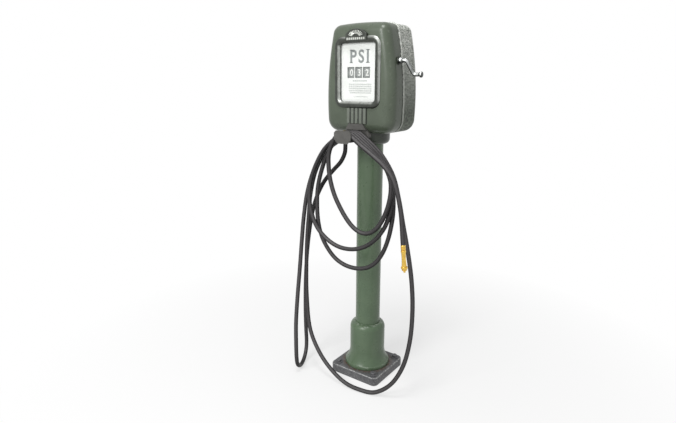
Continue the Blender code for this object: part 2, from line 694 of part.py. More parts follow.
glass_inset = BEZEL_WIDE - GLASS_LAP
prism("window_glass", bezel_outline(glass_inset), "y", GLASS_FRONT, GLASS_FRONT + GLASS_T, GLASS)
glazing = [bezel_ring(y, i) for y, i in (
    (GLAZING_FRONT, glass_inset), (GLAZING_FRONT, BEZEL_WIDE),
    (GLAZING_FRONT + GLAZING_T, BEZEL_WIDE), (GLAZING_FRONT + GLAZING_T, glass_inset))]
new_object("glazing_gasket", frame_mesh("glazing_gasket", glazing), RUBBER)
panel_inset = BEZEL_WIDE - PANEL_LAP
face_plate = prism("face_plate", bezel_outline(panel_inset), "y", PANEL_FRONT, PANEL_FRONT + PANEL_T, WHITE)
drum_centres = [DRUM_PITCH * k for k in (-1, 0, 1)]
for number, x in enumerate(drum_centres, 1):
    name = f"digit_window_{number}"
    hole = rounded_rectangle((x - DIGIT_WINDOW_W / 2, DRUM_Z - DIGIT_WINDOW_H / 2),
                             (x + DIGIT_WINDOW_W / 2, DRUM_Z + DIGIT_WINDOW_H / 2), 0.001, 1)
    combine(face_plate, cutter(name, prism_mesh(name, hole, "y", PANEL_FRONT - EMBED,
                                                PANEL_FRONT + PANEL_T + EMBED)))

# Badge block over the bezel's top rail: plain, with an arched top
badge_rise = BADGE_HIGH - BADGE_SHOULDER
badge_r = (BADGE_HALF ** 2 + badge_rise ** 2) / (2 * badge_rise)
badge_turn = math.degrees(math.asin(BADGE_HALF / badge_r))
badge_outline = [(-BADGE_HALF, BADGE_LOW), (BADGE_HALF, BADGE_LOW)]
badge_outline += arc((0.0, BADGE_HIGH - badge_r), badge_r, 90 - badge_turn, 90 + badge_turn, 8)
badge_block = prism("badge_block", badge_outline, "y", FACE_Y - BADGE_RISE, FACE_Y, GUNMETAL)
soften = badge_block.modifiers.new("soft_edge", "BEVEL")
soften.width = 0.002
soften.segments = 2
soften.limit_method = "ANGLE"
bite = [(-BADGE_HALF - GAP, BADGE_LOW - GAP), (BADGE_HALF + GAP, BADGE_LOW - GAP),
        (BADGE_HALF + GAP, BADGE_HIGH), (-BADGE_HALF - GAP, BADGE_HIGH)]
combine(window_bezel, cutter("badge_bite", prism_mesh("badge_bite", bite, "y", FACE_Y - 2 * BADGE_RISE,
                                                      FACE_Y)))

# Ribbed apron between the bezel and the hook
apron_top = BEZEL_LOW - GAP
rib_pitch = 2 * APRON_HALF / APRON_RIBS
apron_outline = [(APRON_HALF, FACE_Y), (-APRON_HALF, FACE_Y)]
for k in range(APRON_RIBS):
    left = -APRON_HALF + k * rib_pitch
    for share, rise in ((0.10, 0.0), (0.25, 0.8), (0.5, 1.0), (0.75, 0.8), (0.90, 0.0)):
        apron_outline.append((left + share * rib_pitch, FACE_Y - APRON_BASE - rise * APRON_RIB_RISE))
prism("rib_apron", apron_outline, "z", APRON_LOW, apron_top, GREEN)

# Hose hook: a root block on the cover, a saddle arm and a front lip
root = [(-ROOT_LOW_HALF, ROOT_LOW), (ROOT_LOW_HALF, ROOT_LOW), (ROOT_LOW_HALF, HEAD_LOW),
        (ROOT_TOP_HALF, ROOT_TOP), (-ROOT_TOP_HALF, ROOT_TOP), (-ROOT_LOW_HALF, HEAD_LOW)]
hose_hook = prism("hose_hook", root, "y", ROOT_FRONT, ARM_START, HOOK_METAL)
keeper_low_half = ROOT_LOW_HALF + (
    (ROOT_TOP_HALF - ROOT_LOW_HALF) * (KEEPER_LOW - HEAD_LOW) / (ROOT_TOP - HEAD_LOW))
keeper = [(-keeper_low_half, KEEPER_LOW), (keeper_low_half, KEEPER_LOW),
          (ROOT_TOP_HALF, ROOT_TOP), (-ROOT_TOP_HALF, ROOT_TOP)]
combine(hose_hook, cutter("hook_keeper", prism_mesh("hook_keeper", keeper, "y",
                                                    ROOT_FRONT - KEEPER_RISE, ARM_START - EMBED)), "UNION")
arm_turn = math.degrees(math.asin(ARM_HALF / ARM_R))
arm = arc((0.0, SADDLE_CENTRE), ARM_R, 90 - arm_turn, 90 + arm_turn, 10)
arm += [(-ARM_HALF, ARM_LOW), (ARM_HALF, ARM_LOW)]
combine(hose_hook, cutter("hook_arm", prism_mesh("hook_arm", arm, "y", ARM_END - EMBED, ARM_START - EMBED)),
        "UNION")
lip = [(-LIP_HALF + LIP_LOW_CUT, LIP_LOW), (LIP_HALF - LIP_LOW_CUT, LIP_LOW), (LIP_HALF,
                                                                               LIP_LOW + LIP_LOW_CUT),
       (LIP_HALF, LIP_HIGH - LIP_TOP_CUT), (LIP_HALF - LIP_TOP_CUT, LIP_HIGH),
       (-LIP_HALF + LIP_TOP_CUT, LIP_HIGH),
       (-LIP_HALF, LIP_HIGH - LIP_TOP_CUT), (-LIP_HALF, LIP_LOW + LIP_LOW_CUT)]
combine(hose_hook, cutter("hook_lip", prism_mesh("hook_lip", lip, "y", ARM_END - LIP_T, ARM_END)), "UNION")
swell = edge_rings(HEAD_FRONT + FRONT_EDGE_R, -GAP, FRONT_EDGE_R + GAP, -1)
head_swell = loft_mesh("head_swell", [head_ring(y, i) for y, i in [(0.0, -GAP)] + swell])
combine(hose_hook, cutter("head_swell", head_swell))

hook_bolt_head = HEAD_FRONT + HEAD_WALL + GAP
hook_bolt_end = ROOT_FRONT - HOOK_BOLT_BITE
hook_bolt = [(0.0, 0.0), (HOOK_BOLT_R, 0.0), (HOOK_BOLT_R, hook_bolt_head - hook_bolt_end),
             (HOOK_BOLT_HEAD_R, hook_bolt_head - hook_bolt_end),
             (HOOK_BOLT_HEAD_R, hook_bolt_head - hook_bolt_end + HOOK_BOLT_HEAD_H),
             (0.0, hook_bolt_head - hook_bolt_end + HOOK_BOLT_HEAD_H)]
hook_bolt_seat = HEAD_FRONT + HEAD_WALL
for number, x in enumerate((HOOK_BOLT_X, -HOOK_BOLT_X), 1):
    start = (x, hook_bolt_end - GAP, HOOK_BOLT_Z)
    drill(hose_hook, HOOK_BOLT_R + GAP, start, (0, 1, 0), HOOK_BOLT_BITE + HEAD_WALL + HOOK_BOLT_OVER, 12)
    drill_stepped(front_cover, ((HOOK_BOLT_R + GAP, hook_bolt_seat - start[1]),
                                (HOOK_BOLT_HEAD_R + GAP,
                                 hook_bolt_seat - start[1] + HOOK_BOLT_OVER)), start, (0, 1, 0))
    turned(f"hook_bolt_{number}", hook_bolt, STEEL, 12, (x, hook_bolt_end, HOOK_BOLT_Z), (0, 1, 0))

# Hose gland and its tapered sleeve under the head
gland_top = HEAD_LOW + HEAD_WALL + 0.004
gland_low = HEAD_LOW - GAP - GLAND_H
gland_profile = [(0.0, gland_low), (GLAND_R, gland_low), (GLAND_R, HEAD_LOW - GAP), (HOSE_R, HEAD_LOW - GAP),
                 (HOSE_R, gland_top), (0.0, gland_top)]
drill(front_cover, HOSE_R + GAP, (GLAND_X, GLAND_Y, HEAD_LOW - EMBED), (0, 0, 1), HEAD_WALL + 2 * EMBED, 16)
turned("hose_gland", gland_profile, BRASS, 16, (GLAND_X, GLAND_Y, 0.0))
sleeve_top = gland_low - GAP
sleeve_low = sleeve_top - SLEEVE_H
hose_bore = HOSE_R + GAP
turned("hose_sleeve", [(hose_bore, sleeve_low), (HOSE_R + 0.001, sleeve_low), (SLEEVE_R, sleeve_top - 0.004),
                       (SLEEVE_R, sleeve_top), (hose_bore, sleeve_top)], RUBBER, 16, (GLAND_X, GLAND_Y, 0.0))


def lane_y(lane):
    """Depth of one pass of hose on the hook."""
    return LANE_START - lane * HOSE_PITCH


def hook_pass(lane):
    """Hose over the saddle, from left to right."""
    points = []
    for x in (-0.034, -0.018, 0.0, 0.018, 0.034):
        points.append((x, lane_y(lane), SADDLE_CENTRE + math.sqrt(SADDLE_BEND ** 2 - x * x)))
    return points


def hanging_loop(lane, right, bottom, left):
    """A loop from one lane to the next: the change of depth is made along its bottom."""
    points = [(x, lane_y(lane), z) for x, z in right]
    for k, (x, z) in enumerate(bottom, 1):
        points.append((x, lane_y(lane + k / (len(bottom) + 1)), z))
    return points + [(x, lane_y(lane + 1), z) for x, z in left]


# Hose route, from the gland to the chuck: two long loops to the floor, then three short ones
floor_z = HOSE_R + 0.0007  # the curve dips a little between its points
narrow_loop = [
    (GLAND_X, GLAND_Y, sleeve_top - GAP), (GLAND_X, GLAND_Y, sleeve_low),
    (GLAND_X, GLAND_Y, sleeve_low - HOSE_D),
    (-0.0758, -0.0440, 0.822), (-0.0905, -0.0465, 0.790),
    (-0.1195, -0.051, 0.758), (-0.158, -0.057, 0.712), (-0.187, -0.0625, 0.655), (-0.205, -0.067, 0.595),
    (-0.217, -0.072, 0.520), (-0.226, -0.077, 0.430), (-0.2315, -0.081, 0.320), (-0.2332, -0.083, 0.200),
    (-0.2323, -0.0825, 0.120), (-0.2312, -0.082, 0.0648), (-0.2281, -0.0896, 0.0363),
    (-0.2195, -0.1105, 0.0154), (-0.2077, -0.139, floor_z), (-0.196, -0.1675, 0.0154),
    (-0.1873, -0.1884, 0.0363), (-0.1842, -0.196, 0.0648), (-0.1863, -0.1945, 0.120),
    (-0.1955, -0.182, 0.200), (-0.2016, -0.163, 0.300), (-0.2048, -0.144, 0.400), (-0.2075, -0.127, 0.500),
    (-0.2075, -0.112, 0.595), (-0.1985, -0.0995, 0.684), (-0.1695, -0.0938, 0.765),
    (-0.113, lane_y(0), 0.835), (-0.066, lane_y(0), 0.868),
]
wide_loop = [
    (0.062, lane_y(0), 0.868), (0.100, lane_y(0), 0.836), (0.146, lane_y(0), 0.772),
    (0.170, lane_y(0), 0.697), (0.188, lane_y(0), 0.618), (0.207, lane_y(0), 0.537),
    (0.2255, -0.093, 0.439), (0.2345, -0.095, 0.336), (0.2305, -0.099, 0.220), (0.211, -0.109, 0.122),
    (0.173, -0.124, 0.050), (0.121, -0.1415, 0.0115), (0.066, -0.153, floor_z), (0.010, -0.156, 0.014),
    (-0.055, -0.152, 0.041), (-0.117, -0.1435, 0.087), (-0.170, -0.1305, 0.157), (-0.1945, -0.119, 0.285),
    (-0.200, -0.112, 0.400), (-0.198, -0.1085, 0.500), (-0.1895, lane_y(1), 0.590),
    (-0.178, lane_y(1), 0.680), (-0.1535, lane_y(1), 0.762), (-0.109, lane_y(1), 0.832),
    (-0.064, lane_y(1), 0.868),
]
low_loop = hanging_loop(
    1,
    [(0.062, 0.868), (0.099, 0.836), (0.1375, 0.785), (0.1567, 0.714), (0.1587, 0.655), (0.1527, 0.608),
     (0.1417, 0.561), (0.1237, 0.515)],
    [(0.0999, 0.478), (0.0721, 0.455), (0.0393, 0.443), (0.0065, 0.440), (-0.0272, 0.445), (-0.062, 0.461),
     (-0.0938, 0.492)],
    [(-0.1191, 0.534), (-0.1336, 0.586), (-0.1376, 0.645), (-0.1336, 0.705), (-0.1156, 0.770),
     (-0.090, 0.828), (-0.060, 0.868)])
middle_loop = hanging_loop(
    2,
    [(0.062, 0.868), (0.1016, 0.836), (0.1469, 0.790), (0.1634, 0.735), (0.1639, 0.702), (0.1599, 0.6715),
     (0.1489, 0.633), (0.1334, 0.600)],
    [(0.1106, 0.5675), (0.0809, 0.540), (0.0491, 0.522), (0.0153, 0.512), (-0.0235, 0.510),
     (-0.0577, 0.5175), (-0.0925, 0.5355)],
    [(-0.1254, 0.566), (-0.1498, 0.612), (-0.1598, 0.672), (-0.1488, 0.740), (-0.123, 0.797),
     (-0.0922, 0.842), (-0.062, 0.869)])
high_loop = hanging_loop(
    3,
    [(0.062, 0.868), (0.1019, 0.841), (0.1434, 0.806), (0.1642, 0.765), (0.1667, 0.735), (0.1637, 0.708),
     (0.1562, 0.678), (0.1432, 0.645)],
    [(0.1264, 0.615), (0.1066, 0.594), (0.0839, 0.583), (0.0581, 0.5835), (0.0333, 0.596), (0.0085, 0.620),
     (-0.0173, 0.656)],
    [(-0.0405, 0.699), (-0.057, 0.748), (-0.0632, 0.793), (-0.0624, 0.828), (-0.0529, 0.856)])
tail_y = lane_y(LANES - 1)
tail = [(x, tail_y, z) for x, z in (
    (0.062, 0.868), (0.1023, 0.843), (0.1438, 0.8145), (0.178, 0.779), (0.198, 0.733), (0.2115, 0.680),
    (0.218, 0.632), (0.2213, 0.596), (0.2235, 0.574))]
stretches = [narrow_loop, wide_loop, low_loop, middle_loop, high_loop]
route = []
for lane, stretch in enumerate(stretches):
    route += stretch + hook_pass(lane)
route += tail
hose_points, hose_length = smooth_route(route, HOSE_STEP, HOSE_TURN)
tube("air_hose", hose_points, HOSE_R, RUBBER)


def least_gap(points, diameter):
    """Smallest clear distance between parts of one tube that are not neighbours."""
    fine = []
    for p, q in zip(points, points[1:]):
        count = max(1, math.ceil((q - p).length / (diameter / 2)))
        fine += [(p.lerp(q, k / count)) for k in range(count)]
    walked = [0.0]
    for p, q in zip(fine, fine[1:]):
        walked.append(walked[-1] + (q - p).length)
    least = math.inf
    for i, p in enumerate(fine):
        for j in range(i + 1, len(fine)):
            if walked[j] - walked[i] > 4 * diameter:
                least = min(least, (p - fine[j]).length)
    return least - diameter


hose_room = least_gap(hose_points, HOSE_D)
print(f"air hose: {hose_length:.3f} m long, least gap to itself {hose_room * 1000:.2f} mm")

# Chuck on the hose end: ferrule, body with a hexagon, and the sprung pin in its mouth
chuck_axis = (hose_points[-1] - hose_points[-2]).normalized()
hose_end = hose_points[-1] + chuck_axis * GAP
ferrule = [(0.0, 0.0), (FERRULE_R * 0.9, 0.0), (FERRULE_R, 0.003), (FERRULE_R, FERRULE_L), (0.0, FERRULE_L)]
turned("chuck_ferrule", ferrule, BRASS, 16, hose_end, chuck_axis)
chuck_start = hose_end + chuck_axis * (FERRULE_L + GAP)
hex_start = CHUCK_L - CHUCK_HEX_L
chuck_profile = [
    (0.0, 0.0), (CHUCK_R * 0.8, 0.0), (CHUCK_R, 0.004), (CHUCK_R * 0.88, hex_start * 0.55),
    (CHUCK_R * 0.95, hex_start), (CHUCK_HEX_R, hex_start + 0.002), (CHUCK_HEX_R, CHUCK_L - 0.002),
    (CHUCK_R, CHUCK_L), (CHUCK_BORE, CHUCK_L), (CHUCK_BORE, CHUCK_L - CHUCK_PIN_L),
    (0.0, CHUCK_L - CHUCK_PIN_L),
]
turned("chuck_body", chuck_profile, BRASS, 18, chuck_start, chuck_axis)
pin_start = chuck_start + chuck_axis * (CHUCK_L - CHUCK_PIN_L + CHUCK_PIN_OUT)
pin_length = CHUCK_PIN_L
chuck_pin = [(0.0, 0.0), (CHUCK_PIN_R, 0.0), (CHUCK_PIN_R, pin_length - 0.001),
             (CHUCK_PIN_R * 0.7, pin_length),
             (0.0, pin_length)]
turned("chuck_pin", chuck_pin, BRASS, 14, pin_start, chuck_axis)

# Crank: bushing in the cover's side, shaft, hub, bent rod and end knob
wall_x = HEAD_HALF - HEAD_SIDE_R + math.sqrt(HEAD_SIDE_R ** 2 - (CRANK_Z - HEAD_WIDEST_Z) ** 2)
flange_x = wall_x + BUSH_SEAT
shaft_bore = SHAFT_R + RUN
drill(front_cover, BUSH_R + GAP, (wall_x - 2 * HEAD_WALL, CRANK_Y, CRANK_Z), (1, 0, 0), 4 * HEAD_WALL, 20)
bush = [(shaft_bore, BUSH_INNER), (BUSH_R, BUSH_INNER), (BUSH_R, flange_x), (BUSH_FLANGE_R, flange_x),
        (BUSH_FLANGE_R, flange_x + BUSH_FLANGE_T), (shaft_bore, flange_x + BUSH_FLANGE_T)]
turned("crank_bushing", bush, GUNMETAL, 16, (0.0, CRANK_Y, CRANK_Z), (1, 0, 0))
hub_x = flange_x + BUSH_FLANGE_T + GAP
shaft_end = hub_x + CRANK_SOCKET
turned("crank_shaft", [(0.0, SHAFT_START), (SHAFT_R, SHAFT_START), (SHAFT_R, shaft_end), (0.0, shaft_end)],
       STEEL, 20, (0.0, CRANK_Y, CRANK_Z), (1, 0, 0))
hub_end = hub_x + CRANK_HUB_L
hub = [(shaft_bore, hub_x), (CRANK_HUB_R, hub_x), (CRANK_HUB_R, hub_end - 0.002),
       (CRANK_HUB_R * 0.8, hub_end),
       (0.0, hub_end), (0.0, shaft_end + GAP), (shaft_bore, shaft_end + GAP)]
turned("crank_hub", hub, STEEL, 16, (0.0, CRANK_Y, CRANK_Z), (1, 0, 0))
rod_x = hub_end + GAP
grip_y = CRANK_Y + CRANK_BACK
grip_z = CRANK_Z - CRANK_DROP
crank_throw = math.hypot(CRANK_BACK, CRANK_DROP)
slope_rise = crank_throw - 2 * CRANK_BEND_R * (1 - math.cos(CRANK_SLOPE))
sweep_x = rod_x + CRANK_LEAD
grip_x = sweep_x + 2 * CRANK_BEND_R * math.sin(CRANK_SLOPE) + slope_rise / math.tan(CRANK_SLOPE)
knob_x = grip_x + CRANK_GRIP
bend_turns = [CRANK_SLOPE * k / 4 for k in range(5)]
rod_line = [(rod_x, 0.0)]
for turn in bend_turns:
    rod_line.append((sweep_x + CRANK_BEND_R * math.sin(turn), CRANK_BEND_R * (1 - math.cos(turn))))
for turn in reversed(bend_turns):
    rod_line.append((grip_x - CRANK_BEND_R * math.sin(turn), crank_throw - CRANK_BEND_R * (1 - math.cos(turn))))
rod_line.append((knob_x, crank_throw))
bend = [(x, CRANK_Y + CRANK_BACK * out / crank_throw, CRANK_Z - CRANK_DROP * out / crank_throw) for x, out in rod_line]
rod_points, _ = smooth_route(bend, PIPE_STEP, PIPE_TURN)
crank_rod = tube("crank_rod", [p - Vector((0, CRANK_Y, CRANK_Z)) for p in rod_points], CRANK_ROD_R, STEEL, 2)
crank_rod.location = (0.0, CRANK_Y, CRANK_Z)
knob = [(0.0, 0.0), (CRANK_ROD_R, 0.0), (KNOB_R * 0.75, KNOB_L * 0.2), (KNOB_R, KNOB_L * 0.55),
        (KNOB_R, KNOB_L * 0.8), (KNOB_R * 0.85, KNOB_L), (0.0, KNOB_L)]
turned("crank_knob", knob, STEEL, 16, (knob_x + GAP, grip_y, grip_z), (1, 0, 0))


def gear(name, teeth, y, z, phase, bore):
    """A spur gear round X whose tooth 0 points along a phase angle."""
    pitch_r = GEAR_MODULE * teeth / 2
    step = 2 * math.pi / teeth
    tip_r = pitch_r + 0.85 * GEAR_MODULE
    root_r = pitch_r - 1.2 * GEAR_MODULE
    outline = []
    for k in range(teeth):
        for share, radius in ((-0.33, root_r), (-0.12, tip_r), (0.12, tip_r), (0.33, root_r)):
            turn = phase + (k + share) * step
            outline.append((radius * math.cos(turn), radius * math.sin(turn)))
    made = prism(name, outline, "x", GEAR_LEFT, GEAR_LEFT + GEAR_WIDE, BRASS)
    made.location = (0.0, y, z)
    drill(made, bore, (GEAR_LEFT - EMBED, y, z), (1, 0, 0), GEAR_WIDE + 2 * EMBED, 20)
    return made


# Gear train: crank gear, drum gear below it and the large gear of the regulator screw
down = math.atan2(DRUM_Z - CRANK_Z, DRUM_Y - CRANK_Y)
drum_phase = down + math.pi + math.pi / CRANK_TEETH
gear("crank_gear", CRANK_TEETH, CRANK_Y, CRANK_Z, down, SHAFT_R + GAP)
gear("drum_gear", CRANK_TEETH, DRUM_Y, DRUM_Z, drum_phase, AXLE_R + RUN)
onward = math.atan2(SCREW_Z - DRUM_Z, SCREW_Y - DRUM_Y)
tooth = 2 * math.pi / CRANK_TEETH
ahead = (drum_phase - onward) % tooth
screw_phase = onward + math.pi - ahead * CRANK_TEETH / SCREW_TEETH + math.pi / SCREW_TEETH
gear("screw_gear", SCREW_TEETH, SCREW_Y, SCREW_Z, screw_phase, SCREW_R + GAP)

# Counter frame: a U of plate on the back wall, which carries the axle, the shaft and the screw
back_y = HEAD_REAR - HEAD_WALL - GAP
left_out = FRAME_LEFT - FRAME_T
right_out = FRAME_RIGHT + FRAME_T
u_shape = [(left_out, back_y), (left_out, FRAME_FRONT), (FRAME_LEFT, FRAME_FRONT),
           (FRAME_LEFT, back_y - FRAME_T),
           (FRAME_RIGHT, back_y - FRAME_T), (FRAME_RIGHT, FRAME_FRONT), (right_out, FRAME_FRONT),
           (right_out, back_y)]
counter_frame = prism("counter_frame", u_shape, "z", FRAME_LOW, FRAME_HIGH, STEEL)
drill(counter_frame, AXLE_R + GAP, (left_out - EMBED, DRUM_Y, DRUM_Z), (1, 0, 0),
      right_out - left_out + 2 * EMBED, 20)
drill(counter_frame, shaft_bore, (FRAME_RIGHT - EMBED, CRANK_Y, CRANK_Z), (1, 0, 0), FRAME_T + 2 * EMBED, 20)
drill(counter_frame, SCREW_R + RUN, (FRAME_RIGHT - EMBED, SCREW_Y, SCREW_Z), (1, 0, 0), FRAME_T + 2 * EMBED,
      20)
axle_left = left_out - GAP - AXLE_HEAD_T
axle_right = right_out + AXLE_HEAD_T
turned("drum_axle", [(0.0, axle_left), (AXLE_HEAD_R, axle_left), (AXLE_HEAD_R, left_out - GAP),
                     (AXLE_R, left_out - GAP), (AXLE_R, axle_right), (0.0, axle_right)],
       STEEL, 20, (0.0, DRUM_Y, DRUM_Z), (1, 0, 0))

# Number drums: a rim on a web and a hub, the hubs stacked along the axle
drum_bore = AXLE_R + RUN
hub_left = [FRAME_LEFT + GAP, -DRUM_PITCH / 2 + GAP / 2, DRUM_PITCH / 2 + GAP / 2]
hub_right = [-DRUM_PITCH / 2 - GAP / 2, DRUM_PITCH / 2 - GAP / 2, GEAR_LEFT - GAP]
for name, x, low, high in zip(("hundreds_drum", "tens_drum", "units_drum"), drum_centres, hub_left,
                              hub_right):
    rim_low = x - DRUM_WIDE / 2
    rim_high = x + DRUM_WIDE / 2
    web_low = x - DRUM_WEB / 2
    web_high = x + DRUM_WEB / 2
    drum = [(drum_bore, low), (DRUM_HUB_R, low), (DRUM_HUB_R, web_low), (DRUM_R - DRUM_RIM, web_low),
            (DRUM_R - DRUM_RIM, rim_low), (DRUM_R, rim_low), (DRUM_R, rim_high),
            (DRUM_R - DRUM_RIM, rim_high),
            (DRUM_R - DRUM_RIM, web_high), (DRUM_HUB_R, web_high), (DRUM_HUB_R, high), (drum_bore, high)]
    turned(name, drum, DRUM_GREY, 26, (0.0, DRUM_Y, DRUM_Z), (1, 0, 0))

# Regulator: body, diaphragm and bonnet between the cheeks, with a screw, a travelling nut and a spring
screw_at = (0.0, SCREW_Y, SCREW_Z)
bonnet_in = BONNET_R - BONNET_WALL
flange_left = DIAPHRAGM_X + DIAPHRAGM_T / 2 + GAP
bonnet = [(SCREW_R + RUN, BONNET_RIGHT), (BONNET_R, BONNET_RIGHT), (BONNET_R, flange_left + FLANGE_T),
          (FLANGE_R, flange_left + FLANGE_T), (FLANGE_R, flange_left), (bonnet_in, flange_left),
          (bonnet_in, BONNET_RIGHT - BONNET_WALL), (SCREW_R + RUN, BONNET_RIGHT - BONNET_WALL)]
turned("regulator_bonnet", bonnet, GUNMETAL, 20, screw_at, (1, 0, 0))
disc_left = DIAPHRAGM_X - DIAPHRAGM_T / 2
disc_right = DIAPHRAGM_X + DIAPHRAGM_T / 2
turned("diaphragm", [(0.0, disc_left), (FLANGE_R, disc_left), (FLANGE_R, disc_right), (0.0, disc_right)],
       RUBBER, 20, screw_at, (1, 0, 0))
body_right = disc_left - GAP
body_left = FRAME_LEFT + GAP
turned("regulator_body", [(0.0, body_left), (BONNET_R * 0.8, body_left), (BONNET_R, body_left + 0.003),
                          (BONNET_R, body_right - FLANGE_T), (FLANGE_R, body_right - FLANGE_T),
                          (FLANGE_R, body_right), (0.0, body_right)], GUNMETAL, 20, screw_at, (1, 0, 0))
screw_left = disc_right + SCREW_TIP_ROOM
screw_right = right_out + AXLE_HEAD_T
turned("adjusting_screw", [(0.0, screw_left), (SCREW_R, screw_left), (SCREW_R, screw_right),
                           (0.0, screw_right)],
       STEEL, 20, screw_at, (1, 0, 0))
nut_bore = SCREW_R + RUN
turned("spring_nut", [(nut_bore, NUT_X), (NUT_R, NUT_X), (NUT_R, NUT_X + NUT_T), (nut_bore, NUT_X + NUT_T)],
       BRASS, 20, screw_at, (1, 0, 0))
coil_low = disc_right + GAP + SPRING_WIRE / 2
coil_high = NUT_X - GAP - SPRING_WIRE / 2
coil = []
for i in range(SPRING_TURNS * SPRING_POINTS + 1):
    share = i / (SPRING_TURNS * SPRING_POINTS)
    turn = 2 * math.pi * SPRING_TURNS * share
    coil.append(Vector((coil_low + (coil_high - coil_low) * share, SPRING_R * math.cos(turn),
                        SPRING_R * math.sin(turn))))
tube("regulator_spring", coil, SPRING_WIRE / 2, STEEL, 0).location = screw_at

# Air pipes: supply up the column to the regulator, and the outlet down to the gland
inlet_z = SCREW_Z - BONNET_R - GAP
supply = [(0.0, PIPE_Y, 0.0), (0.0, PIPE_Y, 0.30), (0.0, PIPE_Y, 0.60), (0.0, PIPE_Y, HEAD_LOW),
          (0.0, PIPE_Y, HEAD_LOW + 0.030), (INLET_X * 0.5, (PIPE_Y + SCREW_Y) / 2, HEAD_LOW + 0.055),
          (INLET_X, SCREW_Y, inlet_z - 0.018), (INLET_X, SCREW_Y, inlet_z - 0.008),
          (INLET_X, SCREW_Y, inlet_z)]
supply_points = [Vector(p) for p in supply[:3]] + smooth_route(supply[3:], PIPE_STEP, PIPE_TURN)[0]
tube("supply_pipe", supply_points, PIPE_R, PLATE_STEEL, 2)
gland_up = gland_top + GAP
outlet = [(OUTLET_X, SCREW_Y, inlet_z), (OUTLET_X, SCREW_Y, inlet_z - 0.008),
          (OUTLET_X, SCREW_Y, inlet_z - 0.018),
          ((OUTLET_X + GLAND_X) / 2, (SCREW_Y + GLAND_Y) / 2, (inlet_z + gland_up) / 2),
          (GLAND_X, GLAND_Y, gland_up + 0.018), (GLAND_X, GLAND_Y, gland_up + 0.008),
          (GLAND_X, GLAND_Y, gland_up)]
tube("outlet_pipe", smooth_route(outlet, PIPE_STEP, PIPE_TURN)[0], TUBE_R, BRASS, 1)
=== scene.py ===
import json
from math import atan2, cos, degrees, hypot, pi, radians, sin, sqrt, tan

import bmesh
import bpy
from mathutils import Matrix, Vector


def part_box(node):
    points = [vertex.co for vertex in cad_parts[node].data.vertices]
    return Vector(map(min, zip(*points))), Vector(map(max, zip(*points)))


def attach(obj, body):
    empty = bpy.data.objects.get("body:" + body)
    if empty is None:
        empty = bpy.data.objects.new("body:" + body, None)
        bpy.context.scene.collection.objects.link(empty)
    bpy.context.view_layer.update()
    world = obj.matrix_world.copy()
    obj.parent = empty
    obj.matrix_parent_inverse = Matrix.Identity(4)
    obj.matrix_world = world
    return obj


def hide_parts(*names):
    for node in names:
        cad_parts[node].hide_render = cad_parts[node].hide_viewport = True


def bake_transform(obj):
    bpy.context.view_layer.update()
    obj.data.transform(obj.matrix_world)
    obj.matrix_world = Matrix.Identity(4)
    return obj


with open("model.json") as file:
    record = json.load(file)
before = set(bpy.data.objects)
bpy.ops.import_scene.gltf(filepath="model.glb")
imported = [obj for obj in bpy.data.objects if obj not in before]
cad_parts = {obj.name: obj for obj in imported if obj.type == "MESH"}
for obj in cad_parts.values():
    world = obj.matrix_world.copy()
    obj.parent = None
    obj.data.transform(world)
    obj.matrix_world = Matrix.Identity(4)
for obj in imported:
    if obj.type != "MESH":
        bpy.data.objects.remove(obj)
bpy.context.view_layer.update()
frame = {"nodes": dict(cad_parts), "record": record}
nodes = frame["nodes"]
gap = 0.0003  # clearance between touching pieces, as in the solids
bpy.context.scene.view_settings.view_transform = "Standard"
print("frame loaded:", len(nodes), "nodes")


def addObject(name, data):
    made = bpy.data.objects.new(name, data)
    bpy.context.scene.collection.objects.link(made)
    return made


# camera, matched to the photograph's perspective
cameraSetup = {"place": (0.9496, -1.4732, 1.0657), "azimuth": 36.433, "down": 14.476, "focalPixels": 510.607,
               "imageWidth": 676, "sensor": 36.0}
cameraData = bpy.data.cameras.new("photoCamera")
cameraData.sensor_width = cameraSetup["sensor"]
cameraData.lens = cameraSetup["focalPixels"] * cameraSetup["sensor"] / cameraSetup["imageWidth"]
camera = addObject("photoCamera", cameraData)
aside = radians(cameraSetup["azimuth"])
down = radians(cameraSetup["down"])
backward = Vector((sin(aside) * cos(down), -cos(aside) * cos(down), sin(down)))
camera.location = cameraSetup["place"]
camera.rotation_euler = (-backward).to_track_quat("-Z", "Y").to_euler()
bpy.context.scene.camera = camera


def linear(code):
    parts = [int(code[i:i + 2], 16) / 255 for i in (1, 3, 5)]
    return tuple(c / 12.92 if c <= 0.04045 else ((c + 0.055) / 1.055) ** 2.4 for c in parts) + (1.0,)


def perMetre(millimetres):
    return 1000.0 / millimetres  # pattern scale for a feature of that size


def addNode(tree, kind, settings=None, inputs=None):
    node = tree.nodes.new(kind)
    for key, value in (settings or {}).items():
        setattr(node, key, value)
    for key, value in (inputs or {}).items():
        if isinstance(value, bpy.types.NodeSocket):
            tree.links.new(value, node.inputs[key])
        else:
            node.inputs[key].default_value = value
    return node


def startFinish(name, metallic, roughness):
    made = bpy.data.materials.new(name)
    made.use_nodes = True
    tree = made.node_tree
    shader = tree.nodes["Principled BSDF"]
    shader.inputs["Metallic"].default_value = metallic
    shader.inputs["Roughness"].default_value = roughness
    place = addNode(tree, "ShaderNodeTexCoord").outputs["Object"]
    return {"made": made, "tree": tree, "shader": shader, "place": place}


def speckle(coat, millimetres, low=0.0, high=1.0, detail=4.0):
    noise = addNode(coat["tree"], "ShaderNodeTexNoise", None,
                    {"Vector": coat["place"], "Scale": perMetre(millimetres), "Detail": detail})
    spread = addNode(coat["tree"], "ShaderNodeMapRange", {"clamp": True},
                     {"Value": noise.outputs["Fac"], "From Min": low, "From Max": high})
    return spread.outputs["Result"]


